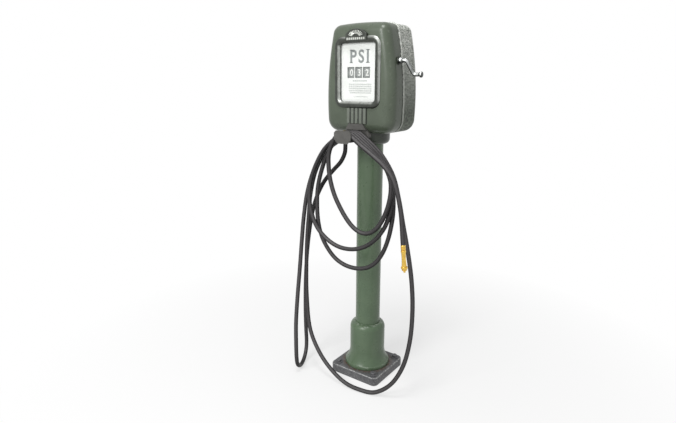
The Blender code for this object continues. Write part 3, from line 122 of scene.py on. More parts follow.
def mottle(coat, millimetres, low, high, first, second, detail=4.0):
    # two shades in soft patches of that size
    patch = speckle(coat, millimetres, low, high, detail)
    return addNode(coat["tree"], "ShaderNodeMix", {"data_type": "RGBA"},
                   {0: patch, 6: linear(first), 7: linear(second)}).outputs[2]


def rubOff(coat, paint, wornAndLit, millimetres, low, high, bare=0.30):
    # pale where the mesh's mark is high, broken up by noise: on most pieces paint rubbed off the edges and
    # crowns, on the window frame and the crank a painted highlight
    tree = coat["tree"]
    edge = addNode(tree, "ShaderNodeAttribute", {"attribute_name": "wearAndPaintedLight"}).outputs["Fac"]
    broken = speckle(coat, millimetres, bare, bare + 0.40, 6.0)
    both = addNode(tree, "ShaderNodeMath", {"operation": "MULTIPLY"}, {0: edge, 1: broken}).outputs[0]
    share = addNode(tree, "ShaderNodeMapRange", {"clamp": True},
                    {"Value": both, "From Min": low, "From Max": high}).outputs["Result"]
    return addNode(tree, "ShaderNodeMix", {"data_type": "RGBA"},
                   {0: share, 6: paint, 7: linear(wornAndLit)}).outputs[2]


def closeFinish(coat, colour, grain, depth, strength, gloss=None):
    # ties the colour, the grain's height and any patchy gloss to the shader
    tree, shader = coat["tree"], coat["shader"]
    tree.links.new(colour, shader.inputs["Base Color"])
    bump = addNode(tree, "ShaderNodeBump", None, {"Height": grain, "Distance": depth, "Strength": strength})
    tree.links.new(bump.outputs["Normal"], shader.inputs["Normal"])
    if gloss:
        pattern, low, high = gloss
        rough = addNode(tree, "ShaderNodeMapRange", None, {"Value": pattern, "To Min": low, "To Max": high})
        tree.links.new(rough.outputs["Result"], shader.inputs["Roughness"])
    return coat["made"]


def stovedEnamel(name, main, shade, wornAndLit):
    # stoved enamel on cast iron: satin, slightly uneven, rubbed pale on its edges
    coat = startFinish(name, 0.0, 0.42)
    coat["shader"].inputs["Specular IOR Level"].default_value = 0.45
    cloud = mottle(coat, 70, 0.30, 0.70, main, shade)
    peel = speckle(coat, 7, detail=1.0)  # orange peel, drawn coarse
    return closeFinish(coat, rubOff(coat, cloud, wornAndLit, 9, 0.22, 0.60), peel, 0.0003, 0.12,
                       (speckle(coat, 22, 0.25, 0.75), 0.24, 0.38))


def wrinkleEnamel(name, main, pale, dark):
    # wrinkle enamel worn through: a coarse pale and dark speckle, heaviest towards the top
    coat = startFinish(name, 0.0, 0.55)
    tree = coat["tree"]
    height = addNode(tree, "ShaderNodeSeparateXYZ", None, {"Vector": coat["place"]}).outputs["Z"]
    upper = addNode(tree, "ShaderNodeMapRange", {"clamp": True},
                    {"Value": height, "From Min": 0.96, "From Max": 1.18}).outputs["Result"]
    grit = speckle(coat, 3.4, 0.40, 0.58, 6.0)
    heavy = addNode(tree, "ShaderNodeMath", {"operation": "MULTIPLY"}, {0: grit, 1: upper}).outputs[0]
    base = mottle(coat, 6, 0.40, 0.62, main, dark, 6.0)
    rubbed = addNode(tree, "ShaderNodeMix", {"data_type": "RGBA"},
                     {0: heavy, 6: base, 7: linear(pale)}).outputs[2]
    return closeFinish(coat, rubOff(coat, rubbed, pale, 8, 0.05, 0.80, 0.10), grit, 0.0012, 0.8)


def flutedEnamel(name, hollowShade, ridge):
    # enamel over cast ribs: painted shade darkens the hollows, the crowns are rubbed paler
    coat = startFinish(name, 0.0, 0.42)
    tree = coat["tree"]
    crown = addNode(tree, "ShaderNodeAttribute", {"attribute_name": "wearAndPaintedLight"}).outputs["Fac"]
    cloud = addNode(tree, "ShaderNodeMath", {"operation": "MULTIPLY_ADD"},
                    {0: speckle(coat, 10, 0.3, 0.7), 1: 0.2, 2: crown}).outputs[0]
    # painted shade: the hollow colour stands for shade in the grooves
    ridgeShare = addNode(tree, "ShaderNodeMapRange", {"clamp": True},
                      {"Value": cloud, "From Min": 0.15, "From Max": 1.15}).outputs["Result"]
    ribbed = addNode(tree, "ShaderNodeMix", {"data_type": "RGBA"},
                     {0: ridgeShare, 6: linear(hollowShade), 7: linear(ridge)}).outputs[2]
    return closeFinish(coat, ribbed, speckle(coat, 2.2), 0.0003, 0.35)


def handledMetal(name, main, shade, wornAndLit, metallic, roughness, patch, grain=0.4):
    # metal that hands and rain reach: dull and dark where the mesh's mark is low, bright where it is high;
    # rubbed metal on the badge, a painted highlight with painted shade on the window frame and the crank
    coat = startFinish(name, metallic, roughness)
    cloud = mottle(coat, 18, 0.30, 0.70, main, shade, 6.0)
    sand = speckle(coat, 1.6)  # sand-cast grain, drawn coarse
    return closeFinish(coat, rubOff(coat, cloud, wornAndLit, patch, 0.05, 0.90, 0.10), sand, 0.0003, grain,
                       (speckle(coat, 7, 0.25, 0.75), roughness - 0.08, roughness + 0.12))


def rustedPlate(name):
    # rolled steel plate outdoors: mill-dark, pale at the worn edges, brown round the foot
    coat = startFinish(name, 0.35, 0.6)
    tree = coat["tree"]
    cloud = mottle(coat, 14, 0.30, 0.70, "#6d6d6f", "#545457", 6.0)
    split = addNode(tree, "ShaderNodeSeparateXYZ", None, {"Vector": coat["place"]}).outputs
    across = addNode(tree, "ShaderNodeMath", {"operation": "MULTIPLY"},
                     {0: split["X"], 1: split["X"]}).outputs[0]
    deep = addNode(tree, "ShaderNodeMath", {"operation": "MULTIPLY_ADD"},
                   {0: split["Y"], 1: split["Y"], 2: across}).outputs[0]
    ring = addNode(tree, "ShaderNodeMapRange", {"clamp": True},
                   {"Value": deep, "From Min": 0.0098, "From Max": 0.0066}).outputs["Result"]
    dirt = addNode(tree, "ShaderNodeMath", {"operation": "MULTIPLY"},
                   {0: ring, 1: speckle(coat, 7, 0.35, 0.60, 6.0)}).outputs[0]
    brown = addNode(tree, "ShaderNodeMix", {"data_type": "RGBA"},
                    {0: dirt, 6: cloud, 7: linear("#5d4a38")}).outputs[2]
    return closeFinish(coat, rubOff(coat, brown, "#a5a6a5", 7, 0.20, 0.65), speckle(coat, 2.5), 0.0005, 0.5)


def brushedMetal(name, main, shade, roughness, millimetres):
    # bare machined metal: a clean reflection broken by fine marks and handling
    coat = startFinish(name, 1.0, roughness)
    cloud = mottle(coat, millimetres, 0.35, 0.70, main, shade, 6.0)
    return closeFinish(coat, cloud, speckle(coat, 1.5), 0.00015, 0.3,
                       (speckle(coat, millimetres / 3, 0.25, 0.75), roughness * 0.7, roughness * 1.4))


def hoseRubber(name, main, shade, sheenColour, roughness):
    # extruded rubber: satin black, with a painted highlight on the side that faces up and to the front, and
    # the faint weave of its cover cloth
    coat = startFinish(name, 0.0, roughness)
    coat["shader"].inputs["Specular IOR Level"].default_value = 0.20
    tree = coat["tree"]
    cloud = mottle(coat, 30, 0.30, 0.70, main, shade)
    normal = addNode(tree, "ShaderNodeNewGeometry").outputs["Normal"]
    # painted highlight: a paler grey where the surface faces up and to the front
    facing = addNode(tree, "ShaderNodeVectorMath", {"operation": "DOT_PRODUCT"},
                     {0: normal, 1: (0.45, -0.70, 0.55)}).outputs["Value"]
    sheenShare = addNode(tree, "ShaderNodeMapRange", {"clamp": True},
                   {"Value": facing, "From Min": 0.50, "From Max": 1.0}).outputs["Result"]
    sheened = addNode(tree, "ShaderNodeMix", {"data_type": "RGBA"},
                     {0: sheenShare, 6: cloud, 7: linear(sheenColour)}).outputs[2]
    weave = speckle(coat, 1.4)  # cloth print, drawn coarse
    return closeFinish(coat, sheened, weave, 0.0002, 0.4,
                       (speckle(coat, 9, 0.25, 0.75), roughness - 0.07, roughness + 0.10))


def printedSheet(name, main, shade, roughness, millimetres):
    # enamelled or printed sheet: even, glossy, faintly yellowed in patches
    coat = startFinish(name, 0.0, roughness)
    cloud = mottle(coat, millimetres, 0.35, 0.75, main, shade)
    return closeFinish(coat, cloud, speckle(coat, 3), 0.0001, 0.2)


def windowGlass(name):
    # float glass: clear, so what lies behind it carries the colour, with a soft reflection
    coat = startFinish(name, 0.0, 0.04)
    coat["shader"].inputs["Alpha"].default_value = 0.07
    film = mottle(coat, 40, 0.35, 0.75, "#e4ebe8", "#d5dcd8")
    coat["tree"].links.new(film, coat["shader"].inputs["Base Color"])
    coat["made"].surface_render_method = "BLENDED"
    return coat["made"]


finishes = {
    "green_enamel": stovedEnamel("stovedGreenEnamel", "#535c4e", "#495244", "#8a9086"),
    "column_enamel": stovedEnamel("stovedColumnEnamel", "#5c6f56", "#51654d", "#8f998b"),
    "dark_enamel": stovedEnamel("blackGreenEnamel", "#363d32", "#2d332a", "#5a6056"),
    "plate_steel": rustedPlate("rolledPlateSteel"),
    "bright_steel": brushedMetal("polishedSteel", "#868987", "#6a6d6b", 0.18, 12),
    # its pale colour shows on the window frame as a painted highlight
    "gunmetal": handledMetal("blackenedGunmetal", "#4a4d48", "#3c3f3a", "#c4c7c2", 0.65, 0.30, 35),
    "hook_iron": handledMetal("forgedHookIron", "#595855", "#4e4d4a", "#83817d", 0.25, 0.46, 20),
    "brass": brushedMetal("turnedBrass", "#e8c664", "#d2a84e", 0.22, 8),
    "black_rubber": hoseRubber("extrudedRubber", "#211f20", "#191718", "#535152", 0.42),
    "white_enamel": printedSheet("whiteEnamelSheet", "#f4f5f2", "#e9ebe7", 0.30, 60),
    "clear_glass": windowGlass("floatGlass"),
    "drum_grey": printedSheet("greyDrumPaint", "#8b8e8c", "#7f8280", 0.40, 14),
}
wrinkled = wrinkleEnamel("wornWrinkleEnamel", "#6c7566", "#f0f3ec", "#2a3127")
# crank steel: dark, with its pale colour used as a painted highlight
crankSteelPaintedHighlight = handledMetal("polishedSteelPaintedHighlight", "#4c4f4d", "#3f4240", "#d6d9d7", 1.0, 0.18, 12, 0.1)
signInk = printedSheet("greySignInk", "#7a7f7e", "#707574", 0.45, 20)
figureWhite = printedSheet("whiteFigurePaint", "#f1f2ee", "#e6e7e2", 0.40, 10)

slotOf = {part["node"]: part["material_slot"] for part in frame["record"]["subparts"]}
for name, solid in nodes.items():
    solid.data.materials.clear()
    solid.data.materials.append(finishes[slotOf[name]])
print("materials set on", len(slotOf), "nodes")


def finishPiece(mesh, slotName, stands=(), body="pedestal", finish=None, sharp=32):
    made = addObject(mesh.name, mesh)
    mesh.materials.clear()
    mesh.materials.append(finish or finishes[slotName])
    mesh.shade_smooth()
    mesh.set_sharp_from_angle(angle=radians(sharp))
    if body:  # a piece between two bodies is left unattached
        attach(made, body)
    if stands:
        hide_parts(*stands)
    return made


def closeMesh(grid, name, wearAndPaintedLight=None):
    bmesh.ops.recalc_face_normals(grid, faces=grid.faces)
    mesh = bpy.data.meshes.new(name)
    grid.to_mesh(mesh)
    grid.free()
    if wearAndPaintedLight:
        mesh.attributes.new("wearAndPaintedLight", "FLOAT", "POINT").data.foreach_set("value", wearAndPaintedLight)
    return mesh


def rubToward(mesh, way):
    # painted highlight on the side that faces that way, painted shade on the far side
    way = Vector(way).normalized()
    marks = [min(max((v.normal.dot(way) - 0.35) / 0.55, 0.0), 1.0) for v in mesh.vertices]
    mesh.attributes.new("wearAndPaintedLight", "FLOAT", "POINT").data.foreach_set("value", marks)
    return mesh


def skin(name, rings, ends, wearAndPaintedLight=None):
    # rows of points joined into one closed skin; ends is "capped" or "joined"
    grid = bmesh.new()
    rows = [[grid.verts.new(p) for p in ring] for ring in rings]
    following = rows[1:] + (rows[:1] if ends == "joined" else [])
    for row, after in zip(rows, following):
        for i in range(len(row)):
            j = (i + 1) % len(row)
            grid.faces.new((row[i], row[j], after[j], after[i]))
    if ends == "capped":
        grid.faces.new(rows[0])
        grid.faces.new(rows[-1])
    marks = []
    for ring, value in zip(rings, wearAndPaintedLight or []):
        marks += value if isinstance(value, list) else [value] * len(ring)
    return closeMesh(grid, name, marks)


def circleAt(spot, across, up, radius, steps):
    turns = [2 * pi * k / steps for k in range(steps)]
    return [spot + (across * cos(a) + up * sin(a)) * radius for a in turns]


def turnedSkin(name, profile, steps, origin=(0, 0, 0), axis=(0, 0, 1), ends="joined", wearAndPaintedLight=None):
    # a lathe profile of radius and height pairs, set along an axis
    turn = Vector((0, 0, 1)).rotation_difference(Vector(axis))
    across, up, along = (turn @ Vector(way) for way in ((1, 0, 0), (0, 1, 0), (0, 0, 1)))
    rings = [circleAt(Vector(origin) + along * height, across, up, radius, steps) for radius,
             height in profile]
    return skin(name, rings, ends, wearAndPaintedLight)


def wayAt(path, k):
    return (path[min(k + 1, len(path) - 1)] - path[max(k - 1, 0)]).normalized()


def arcPoints(centre, radius, start, end, steps):
    turns = [radians(start + (end - start) * i / steps) for i in range(steps + 1)]
    return [(centre[0] + radius * cos(t), centre[1] + radius * sin(t)) for t in turns]


def quarterTurn(steps):
    return [pi / 2 * k / steps for k in range(steps + 1)]


def roundedBox(low, high, corner, steps):
    (x0, z0), (x1, z1) = low, high
    points = []
    for cx, cz, start in ((x1 - corner, z0 + corner, -90), (x1 - corner, z1 - corner, 0),
                          (x0 + corner, z1 - corner, 90), (x0 + corner, z0 + corner, 180)):
        points += arcPoints((cx, cz), corner, start, start + 90, steps)
    return points


def smoothRoute(points, fine):
    # centripetal curve through the points
    points = [Vector(p) for p in points]
    ends = [2 * points[0] - points[1]] + points + [2 * points[-1] - points[-2]]
    path = []
    for a, b, c, d in zip(ends, ends[1:], ends[2:], ends[3:]):
        knots = [0.0]
        for p, q in ((a, b), (b, c), (c, d)):
            knots.append(knots[-1] + sqrt((q - p).length))
        for i in range(fine):
            t = knots[1] + (knots[2] - knots[1]) * i / fine
            ab = a.lerp(b, (t - knots[0]) / (knots[1] - knots[0]))
            bc = b.lerp(c, (t - knots[1]) / (knots[2] - knots[1]))
            cd = c.lerp(d, (t - knots[2]) / (knots[3] - knots[2]))
            abc = ab.lerp(bc, (t - knots[0]) / (knots[2] - knots[0]))
            bcd = bc.lerp(cd, (t - knots[1]) / (knots[3] - knots[1]))
            path.append(abc.lerp(bcd, (t - knots[1]) / (knots[2] - knots[1])))
    return path + [points[-1]]


# air hose: from the gland down the left, two long loops to the floor, three short ones, then the chuck
hose = {"diameter": 0.0148, "pitch": 0.01525, "firstLane": -0.0923, "saddleBend": 0.0516, "saddleTop": 0.9001,
        "gland": (-0.074, -0.0435), "sleeveTop": 0.8844, "sleeveLow": 0.8604, "fine": 7, "round": 4,
        "floorGap": 0.0007, "saddleX": (-0.034, -0.018, 0.0, 0.018, 0.034)}
saddleCentre = hose["saddleTop"] - hose["saddleBend"]


def laneDepth(lane):
    return hose["firstLane"] - lane * hose["pitch"]


def overHook(lane):
    return [(x, laneDepth(lane), saddleCentre + sqrt(hose["saddleBend"] ** 2 - x * x))
            for x in hose["saddleX"]]


def hangingLoop(lane, right, bottom, left):
    # the change of lane is made along the bottom
    points = [(x, laneDepth(lane), z) for x, z in right]
    for k, (x, z) in enumerate(bottom, 1):
        points.append((x, laneDepth(lane + k / (len(bottom) + 1)), z))
    return points + [(x, laneDepth(lane + 1), z) for x, z in left]


gx, gy = hose["gland"]
floorZ = hose["diameter"] / 2 + hose["floorGap"]
narrowLoop = [
    (gx, gy, hose["sleeveTop"] - gap), (gx, gy, hose["sleeveLow"]),
    (gx, gy, hose["sleeveLow"] - hose["diameter"]), (-0.0758, -0.0440, 0.822), (-0.0905, -0.0465, 0.790),
    (-0.1195, -0.051, 0.758), (-0.158, -0.057, 0.712), (-0.187, -0.0625, 0.655), (-0.205, -0.067, 0.595),
    (-0.217, -0.072, 0.520), (-0.226, -0.077, 0.430), (-0.2315, -0.081, 0.320), (-0.2332, -0.083, 0.200),
    (-0.2323, -0.0825, 0.120), (-0.2312, -0.082, 0.0648), (-0.2281, -0.0896, 0.0363),
    (-0.2195, -0.1105, 0.0154), (-0.2077, -0.139, floorZ), (-0.196, -0.1675, 0.0154),
    (-0.1873, -0.1884, 0.0363), (-0.1842, -0.196, 0.0648), (-0.1863, -0.1945, 0.120),
    (-0.1955, -0.182, 0.200), (-0.2016, -0.163, 0.300), (-0.2048, -0.144, 0.400), (-0.2075, -0.127, 0.500),
    (-0.2075, -0.112, 0.595), (-0.1985, -0.0995, 0.684), (-0.1695, -0.0938, 0.765),
    (-0.113, laneDepth(0), 0.835), (-0.066, laneDepth(0), 0.868)]
wideLoop = [
    (0.062, laneDepth(0), 0.868), (0.100, laneDepth(0), 0.836), (0.146, laneDepth(0), 0.772),
    (0.170, laneDepth(0), 0.697), (0.188, laneDepth(0), 0.618), (0.207, laneDepth(0), 0.537),
    (0.2255, -0.093, 0.439), (0.2345, -0.095, 0.336), (0.2305, -0.099, 0.220), (0.211, -0.109, 0.122),
    (0.173, -0.124, 0.050), (0.121, -0.1415, 0.0115), (0.066, -0.153, floorZ), (0.010, -0.156, 0.014),
    (-0.055, -0.152, 0.041), (-0.117, -0.1435, 0.087), (-0.170, -0.1305, 0.157), (-0.1945, -0.119, 0.285),
    (-0.200, -0.112, 0.400), (-0.198, -0.1085, 0.500), (-0.1895, laneDepth(1), 0.590),
    (-0.178, laneDepth(1), 0.680), (-0.1535, laneDepth(1), 0.762), (-0.109, laneDepth(1), 0.832),
    (-0.064, laneDepth(1), 0.868)]
lowLoop = hangingLoop(
    1, [(0.062, 0.868), (0.099, 0.836), (0.1375, 0.785), (0.1567, 0.714), (0.1587, 0.655), (0.1527, 0.608),
        (0.1417, 0.561), (0.1237, 0.515)],
    [(0.0999, 0.478), (0.0721, 0.455), (0.0393, 0.443), (0.0065, 0.440), (-0.0272, 0.445), (-0.062, 0.461),
     (-0.0938, 0.492)],
    [(-0.1191, 0.534), (-0.1336, 0.586), (-0.1376, 0.645), (-0.1336, 0.705), (-0.1156, 0.770),
     (-0.090, 0.828), (-0.060, 0.868)])
middleLoop = hangingLoop(
    2, [(0.062, 0.868), (0.1016, 0.836), (0.1469, 0.790), (0.1634, 0.735), (0.1639, 0.702), (0.1599, 0.6715),
        (0.1489, 0.633), (0.1334, 0.600)],
    [(0.1106, 0.5675), (0.0809, 0.540), (0.0491, 0.522), (0.0153, 0.512), (-0.0235, 0.510), (-0.0577, 0.5175),
     (-0.0925, 0.5355)],
    [(-0.1254, 0.566), (-0.1498, 0.612), (-0.1598, 0.672), (-0.1488, 0.740), (-0.123, 0.797),
     (-0.0922, 0.842), (-0.062, 0.869)])
highLoop = hangingLoop(
    3, [(0.062, 0.868), (0.1019, 0.841), (0.1434, 0.806), (0.1642, 0.765), (0.1667, 0.735), (0.1637, 0.708),
        (0.1562, 0.678), (0.1432, 0.645)],
    [(0.1264, 0.615), (0.1066, 0.594), (0.0839, 0.583), (0.0581, 0.5835), (0.0333, 0.596), (0.0085, 0.620),
     (-0.0173, 0.656)],
    [(-0.0405, 0.699), (-0.057, 0.748), (-0.0632, 0.793), (-0.0624, 0.828), (-0.0529, 0.856)])
tail = [(x, laneDepth(4), z) for x, z in (
    (0.062, 0.868), (0.1023, 0.843), (0.1438, 0.8145), (0.178, 0.779), (0.198, 0.733), (0.2115, 0.680),
    (0.218, 0.632), (0.2213, 0.596), (0.2235, 0.574))]
route = []
for lane, stretch in enumerate((narrowLoop, wideLoop, lowLoop, middleLoop, highLoop)):
    route += stretch + overHook(lane)
hosePath = smoothRoute(route + tail, hose["fine"])
hoseCurve = bpy.data.curves.new("airHoseRubber", "CURVE")
hoseCurve.dimensions = "3D"
hoseCurve.bevel_depth = hose["diameter"] / 2
hoseCurve.bevel_resolution = hose["round"]
hoseCurve.use_fill_caps = True
line = hoseCurve.splines.new("POLY")
line.points.add(len(hosePath) - 1)
for spot, point in zip(line.points, hosePath):
    spot.co = (*point, 1.0)
line.use_smooth = True
hoseCurve.materials.append(finishes["black_rubber"])
airHose = addObject("airHoseRubber", hoseCurve)
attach(airHose, "pedestal")
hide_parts("air_hose")


# chuck on the hose end: ferrule with crimp rings, waisted body, hexagon and rounded mouth
chuck = {"ferruleR": 0.0078, "ferruleLength": 0.016, "bodyR": 0.0082, "length": 0.066, "hexR": 0.0105,
         "hexLength": 0.013, "bore": 0.0042, "boreDepth": 0.012, "rings": 3, "ringFirst": 0.0022,
         "ringPitch": 0.0042}
chuckAxis = Vector((0.097726, 0.0, -0.995213)).normalized()
hoseEnd = hosePath[-1] + chuckAxis * gap
fr, fl = chuck["ferruleR"], chuck["ferruleLength"]
ferruleProfile = [(0.0012, 0.0), (fr * 0.86, 0.0), (fr * 0.97, 0.0012)]
for k in range(chuck["rings"]):  # crimped
    at = chuck["ringFirst"] + k * chuck["ringPitch"]
    ferruleProfile += [(fr, at), (fr, at + 0.0022), (fr * 0.90, at + 0.0028), (fr * 0.90, at + 0.0038)]
ferruleProfile += [(fr, fl - 0.0012), (fr * 0.92, fl), (0.0012, fl)]
ferrule = finishPiece(turnedSkin("chuckFerrule", ferruleProfile, 40, hoseEnd, chuckAxis, "capped"), "brass",
                      ["chuck_ferrule"])
chuckStart = hoseEnd + chuckAxis * (fl + gap)
br, hr, mouth = chuck["bodyR"], chuck["hexR"], chuck["length"]
hexLow = mouth - chuck["hexLength"]
bodyProfile = [
    (0.001, 0.0), (br * 0.76, 0.0), (br * 0.95, 0.0015), (br, 0.0035), (br * 0.98, 0.007),
    (br * 0.86, 0.010), (br * 0.82, 0.018), (br * 0.82, 0.030), (br * 0.88, 0.042),
    (br * 0.94, hexLow - 0.004), (br * 0.98, hexLow - 0.0025), (br * 0.90, hexLow - 0.0018),
    (br * 0.90, hexLow - 0.0006), (hr * 0.94, hexLow), (hr, hexLow + 0.0012), (hr, hexLow + 0.0055),
    (hr * 0.93, hexLow + 0.0066), (br * 0.86, hexLow + 0.0072), (br * 0.86, hexLow + 0.0086),
    (br, hexLow + 0.0092), (br * 1.02, mouth - 0.0024), (br * 0.92, mouth - 0.0007), (br * 0.72, mouth),
    (chuck["bore"], mouth), (chuck["bore"], mouth - chuck["boreDepth"]),
    (0.001, mouth - chuck["boreDepth"])]
chuckBody = finishPiece(turnedSkin("chuckBrassBody", bodyProfile, 48, chuckStart, chuckAxis, "capped"),
                        "brass", ["chuck_body"])
print("chuck made")


# head: one outline for the cover and the housing, four arcs and a flat floor
head = {"low": 0.897, "high": 1.240, "half": 0.1314, "widestZ": 1.000, "sideR": 0.977, "topR": 1.1,
        "floorCorner": 0.042, "topCorner": 0.030, "wall": 0.005, "front": -0.084, "rear": 0.085,
        "frontEdge": 0.030, "rearEdge": 0.025, "seam": -0.020, "gasket": 0.0014, "beadRise": 0.003,
        "beadWide": 0.0095, "beadSteps": 8, "seamEdge": 0.0012, "edgeSteps": 10}


def angleOf(p, q):
    return degrees(atan2(q[1] - p[1], q[0] - p[0]))


def headOutline(inset):
    side = Vector((head["half"] - head["sideR"], head["widestZ"]))
    top = Vector((0.0, head["high"] - head["topR"]))
    highR = max(head["topCorner"] - inset, 0.004)
    lowR = max(head["floorCorner"] - inset, 0.004)
    sideR = head["sideR"] - inset
    topR = head["topR"] - inset
    r1, r2 = sideR - highR, topR - highR
    apart = (top - side).length
    along = (r1 * r1 - r2 * r2 + apart * apart) / (2 * apart)
    way = (top - side) / apart
    away = Vector((way.y, -way.x)) * sqrt(r1 * r1 - along * along)
    highC = max(side + way * along + away, side + way * along - away, key=lambda p: p.x + p.y)
    lowZ = head["low"] + inset + lowR
    lowC = (side.x + sqrt((sideR - lowR) ** 2 - (lowZ - side.y) ** 2), lowZ)
    right = [(lowC[0] * k / 4, head["low"] + inset) for k in range(1, 4)]
    right += arcPoints(lowC, lowR, -90, angleOf(side, lowC), 12)
    right += arcPoints(side, sideR, angleOf(side, lowC), angleOf(side, highC), 18)[1:]
    right += arcPoints(highC, highR, angleOf(side, highC), angleOf(top, highC), 12)[1:]
    right += arcPoints(top, topR, angleOf(top, highC), 90, 8)[1:-1]
    left = [(-x, z) for x, z in reversed(right)]
    return right + [(0.0, head["high"] - inset)] + left + [(0.0, head["low"] + inset)]


def headRing(y, inset, rise=0.0):
    if not rise:
        return [(x, y, z) for x, z in headOutline(inset)]
    ring = []
    for (x0, z0), (x1, z1) in zip(headOutline(0.0), headOutline(-rise)):
        share = min(max((z0 - head["low"]) / head["floorCorner"], 0.0), 1.0)
        ring.append((x0 + (x1 - x0) * share, y, z0 + (z1 - z0) * share))
    return ring


def edgeSections(side, way, inset):
    # the rounded edge at the head's front or rear, from the wall to the face
    y, radius = head[side] - way * head[side + "Edge"], head[side + "Edge"] - inset
    return [(y + way * radius * sin(t), inset + radius * (1 - cos(t)))
            for t in quarterTurn(head["edgeSteps"])]


def windowRing(y):
    # the opening's points in line with the head's outline, hidden below the window frame
    middle = (openLow + openHigh) / 2
    ring = []
    for x, z in headOutline(head["frontEdge"]):
        rise = z - middle
        reach = min(openHalf / max(abs(x), 1e-9), (openHigh - openLow) / 2 / max(abs(rise), 1e-9))
        ring.append((x * reach, y, middle + rise * reach))
    return ring


bezel = {"half": 0.087, "low": 0.977, "high": 1.198, "corner": 0.030, "wide": 0.020, "rise": 0.006,
         "lip": 0.0035, "lipDepth": 0.0018, "steps": 16}
coverRear = head["seam"] - head["gasket"] / 2 - gap
housingFront = head["seam"] + head["gasket"] / 2 + gap
openInset = bezel["wide"] - bezel["lip"] - gap
openHalf = bezel["half"] - openInset
openLow, openHigh = bezel["low"] + openInset, bezel["high"] - openInset
frontWall = edgeSections("front", -1, 0.0)
frontInside = edgeSections("front", -1, head["wall"])
coverRings = [headRing(coverRear, head["seamEdge"]), headRing(coverRear - head["seamEdge"], 0.0)]
coverWear = [0.55, 0.35]
for k, (y, inset) in enumerate(frontWall):
    coverRings.append(headRing(y, inset))
    coverWear.append(0.10 + 0.22 * sin(pi * k / head["edgeSteps"]))
coverRings += [windowRing(head["front"]), windowRing(head["front"] + head["wall"])]
coverWear += [0.1, 0.0]
coverRings += [headRing(y, inset) for y, inset in reversed(frontInside)] + [headRing(coverRear, head["wall"])]
coverWear += [0.0] * (len(frontInside) + 1)
finishPiece(skin("headFrontCover", coverRings, "joined", coverWear), "green_enamel", ["front_cover"])

rearWall = edgeSections("rear", 1, 0.0)
rearInside = edgeSections("rear", 1, head["wall"])
housingRings = [headRing(y, inset) for y, inset in reversed(rearInside)]
housingRings.append(headRing(housingFront, head["wall"]))
housingWear = [0.0] * len(housingRings)
for k in range(head["beadSteps"] + 1):  # the raised bead behind the seam
    share = k / head["beadSteps"]
    swell = head["beadRise"] * sqrt(max(1 - (2 * share - 1) ** 2, 0.0))
    housingRings.append(headRing(housingFront + share * head["beadWide"], 0.0, max(swell, 1e-5)))
    housingWear.append(0.06 + 0.37 * swell / head["beadRise"])
beadEnd = housingFront + head["beadWide"]
for k in range(1, 5):
    housingRings.append(headRing(beadEnd + (head["rear"] - head["rearEdge"] - beadEnd) * k / 5, 0.0))
    housingWear.append(0.05)
for k, (y, inset) in enumerate(rearWall):
    housingRings.append(headRing(y, inset))
    housingWear.append(0.05 + 0.20 * sin(pi * k / head["edgeSteps"]))
finishPiece(skin("headRearHousing", housingRings, "capped", housingWear), "green_enamel", ["rear_housing"],
            finish=wrinkled)
print("head made")


# window frame: a half-round moulding with a lip through the cover
def bezelRing(y, inset):
    return [(x, y, z) for x, z in roundedBox((inset - bezel["half"], bezel["low"] + inset),
                                             (bezel["half"] - inset, bezel["high"] - inset),
                                             max(bezel["corner"] - inset, 0.006), 10)]


faceY = head["front"] - gap
bezelRings = []
for k in range(bezel["steps"] + 1):
    turn = pi * k / bezel["steps"]
    bezelRings.append(bezelRing(faceY - bezel["rise"] * sin(turn), bezel["wide"] * (1 - cos(turn)) / 2))
backY = head["front"] + bezel["lipDepth"]
lipInset = bezel["wide"] - bezel["lip"]
bezelRings += [bezelRing(backY, bezel["wide"]), bezelRing(backY, lipInset), bezelRing(faceY, lipInset)]
# the frame's pale mark is a painted highlight on the faces towards the upper right, with painted shade on the
# far side
finishPiece(rubToward(skin("windowFrame", bezelRings, "joined"), (0.65, -0.30, 0.65)), "gunmetal",
            ["window_bezel"])


# ribbed apron below the window: round ribs, with painted shade in the hollows between them
apron = {"half": 0.039, "low": 0.928, "base": 0.002, "rise": 0.003, "ribs": 5, "ribSteps": 10, "share": 0.80}
ribPitch = 2 * apron["half"] / apron["ribs"]
apronLine, apronRubAndShade = [(apron["half"], faceY), (-apron["half"], faceY)], [0.0, 0.0]
for k in range(apron["ribs"]):
    left = -apron["half"] + (k + (1 - apron["share"]) / 2) * ribPitch
    for i in range(apron["ribSteps"] + 1):
        turn = pi * i / apron["ribSteps"]
        apronLine.append((left + apron["share"] * ribPitch * (1 - cos(turn)) / 2,
                          faceY - apron["base"] - apron["rise"] * sin(turn) ** 0.7))
        apronRubAndShade.append(sin(turn) ** 0.5)
apronTop = bezel["low"] - gap
apronRings = [[(x, y, z) for x, y in apronLine] for z in (apron["low"], apron["low"] + 0.02,
                                                          apronTop - 0.01, apronTop)]
finishPiece(skin("ribbedApron", apronRings, "capped", [apronRubAndShade] * 4), "green_enamel", ["rib_apron"],
            finish=flutedEnamel("flutedEnamelShadedHollows", "#1d211c", "#6a7066"))


# badge block relief: a plain fan of ribs in the arch and a row of teeth along the foot
badge = {"front": -0.0953, "proud": 0.0012, "fanX": 0.0, "fanZ": 1.1935, "fanRibs": 11, "fanFrom": 24,
         "fanSweep": 132, "fanStretch": 1.35, "ribHalf": 0.0013, "chamfer": 0.0006, "sink": 0.0004,
         "inner": 0.0105, "outer": 0.0215, "teeth": 9, "toothWide": 0.0052, "toothLow": 1.1862,
         "toothHigh": 1.1935}


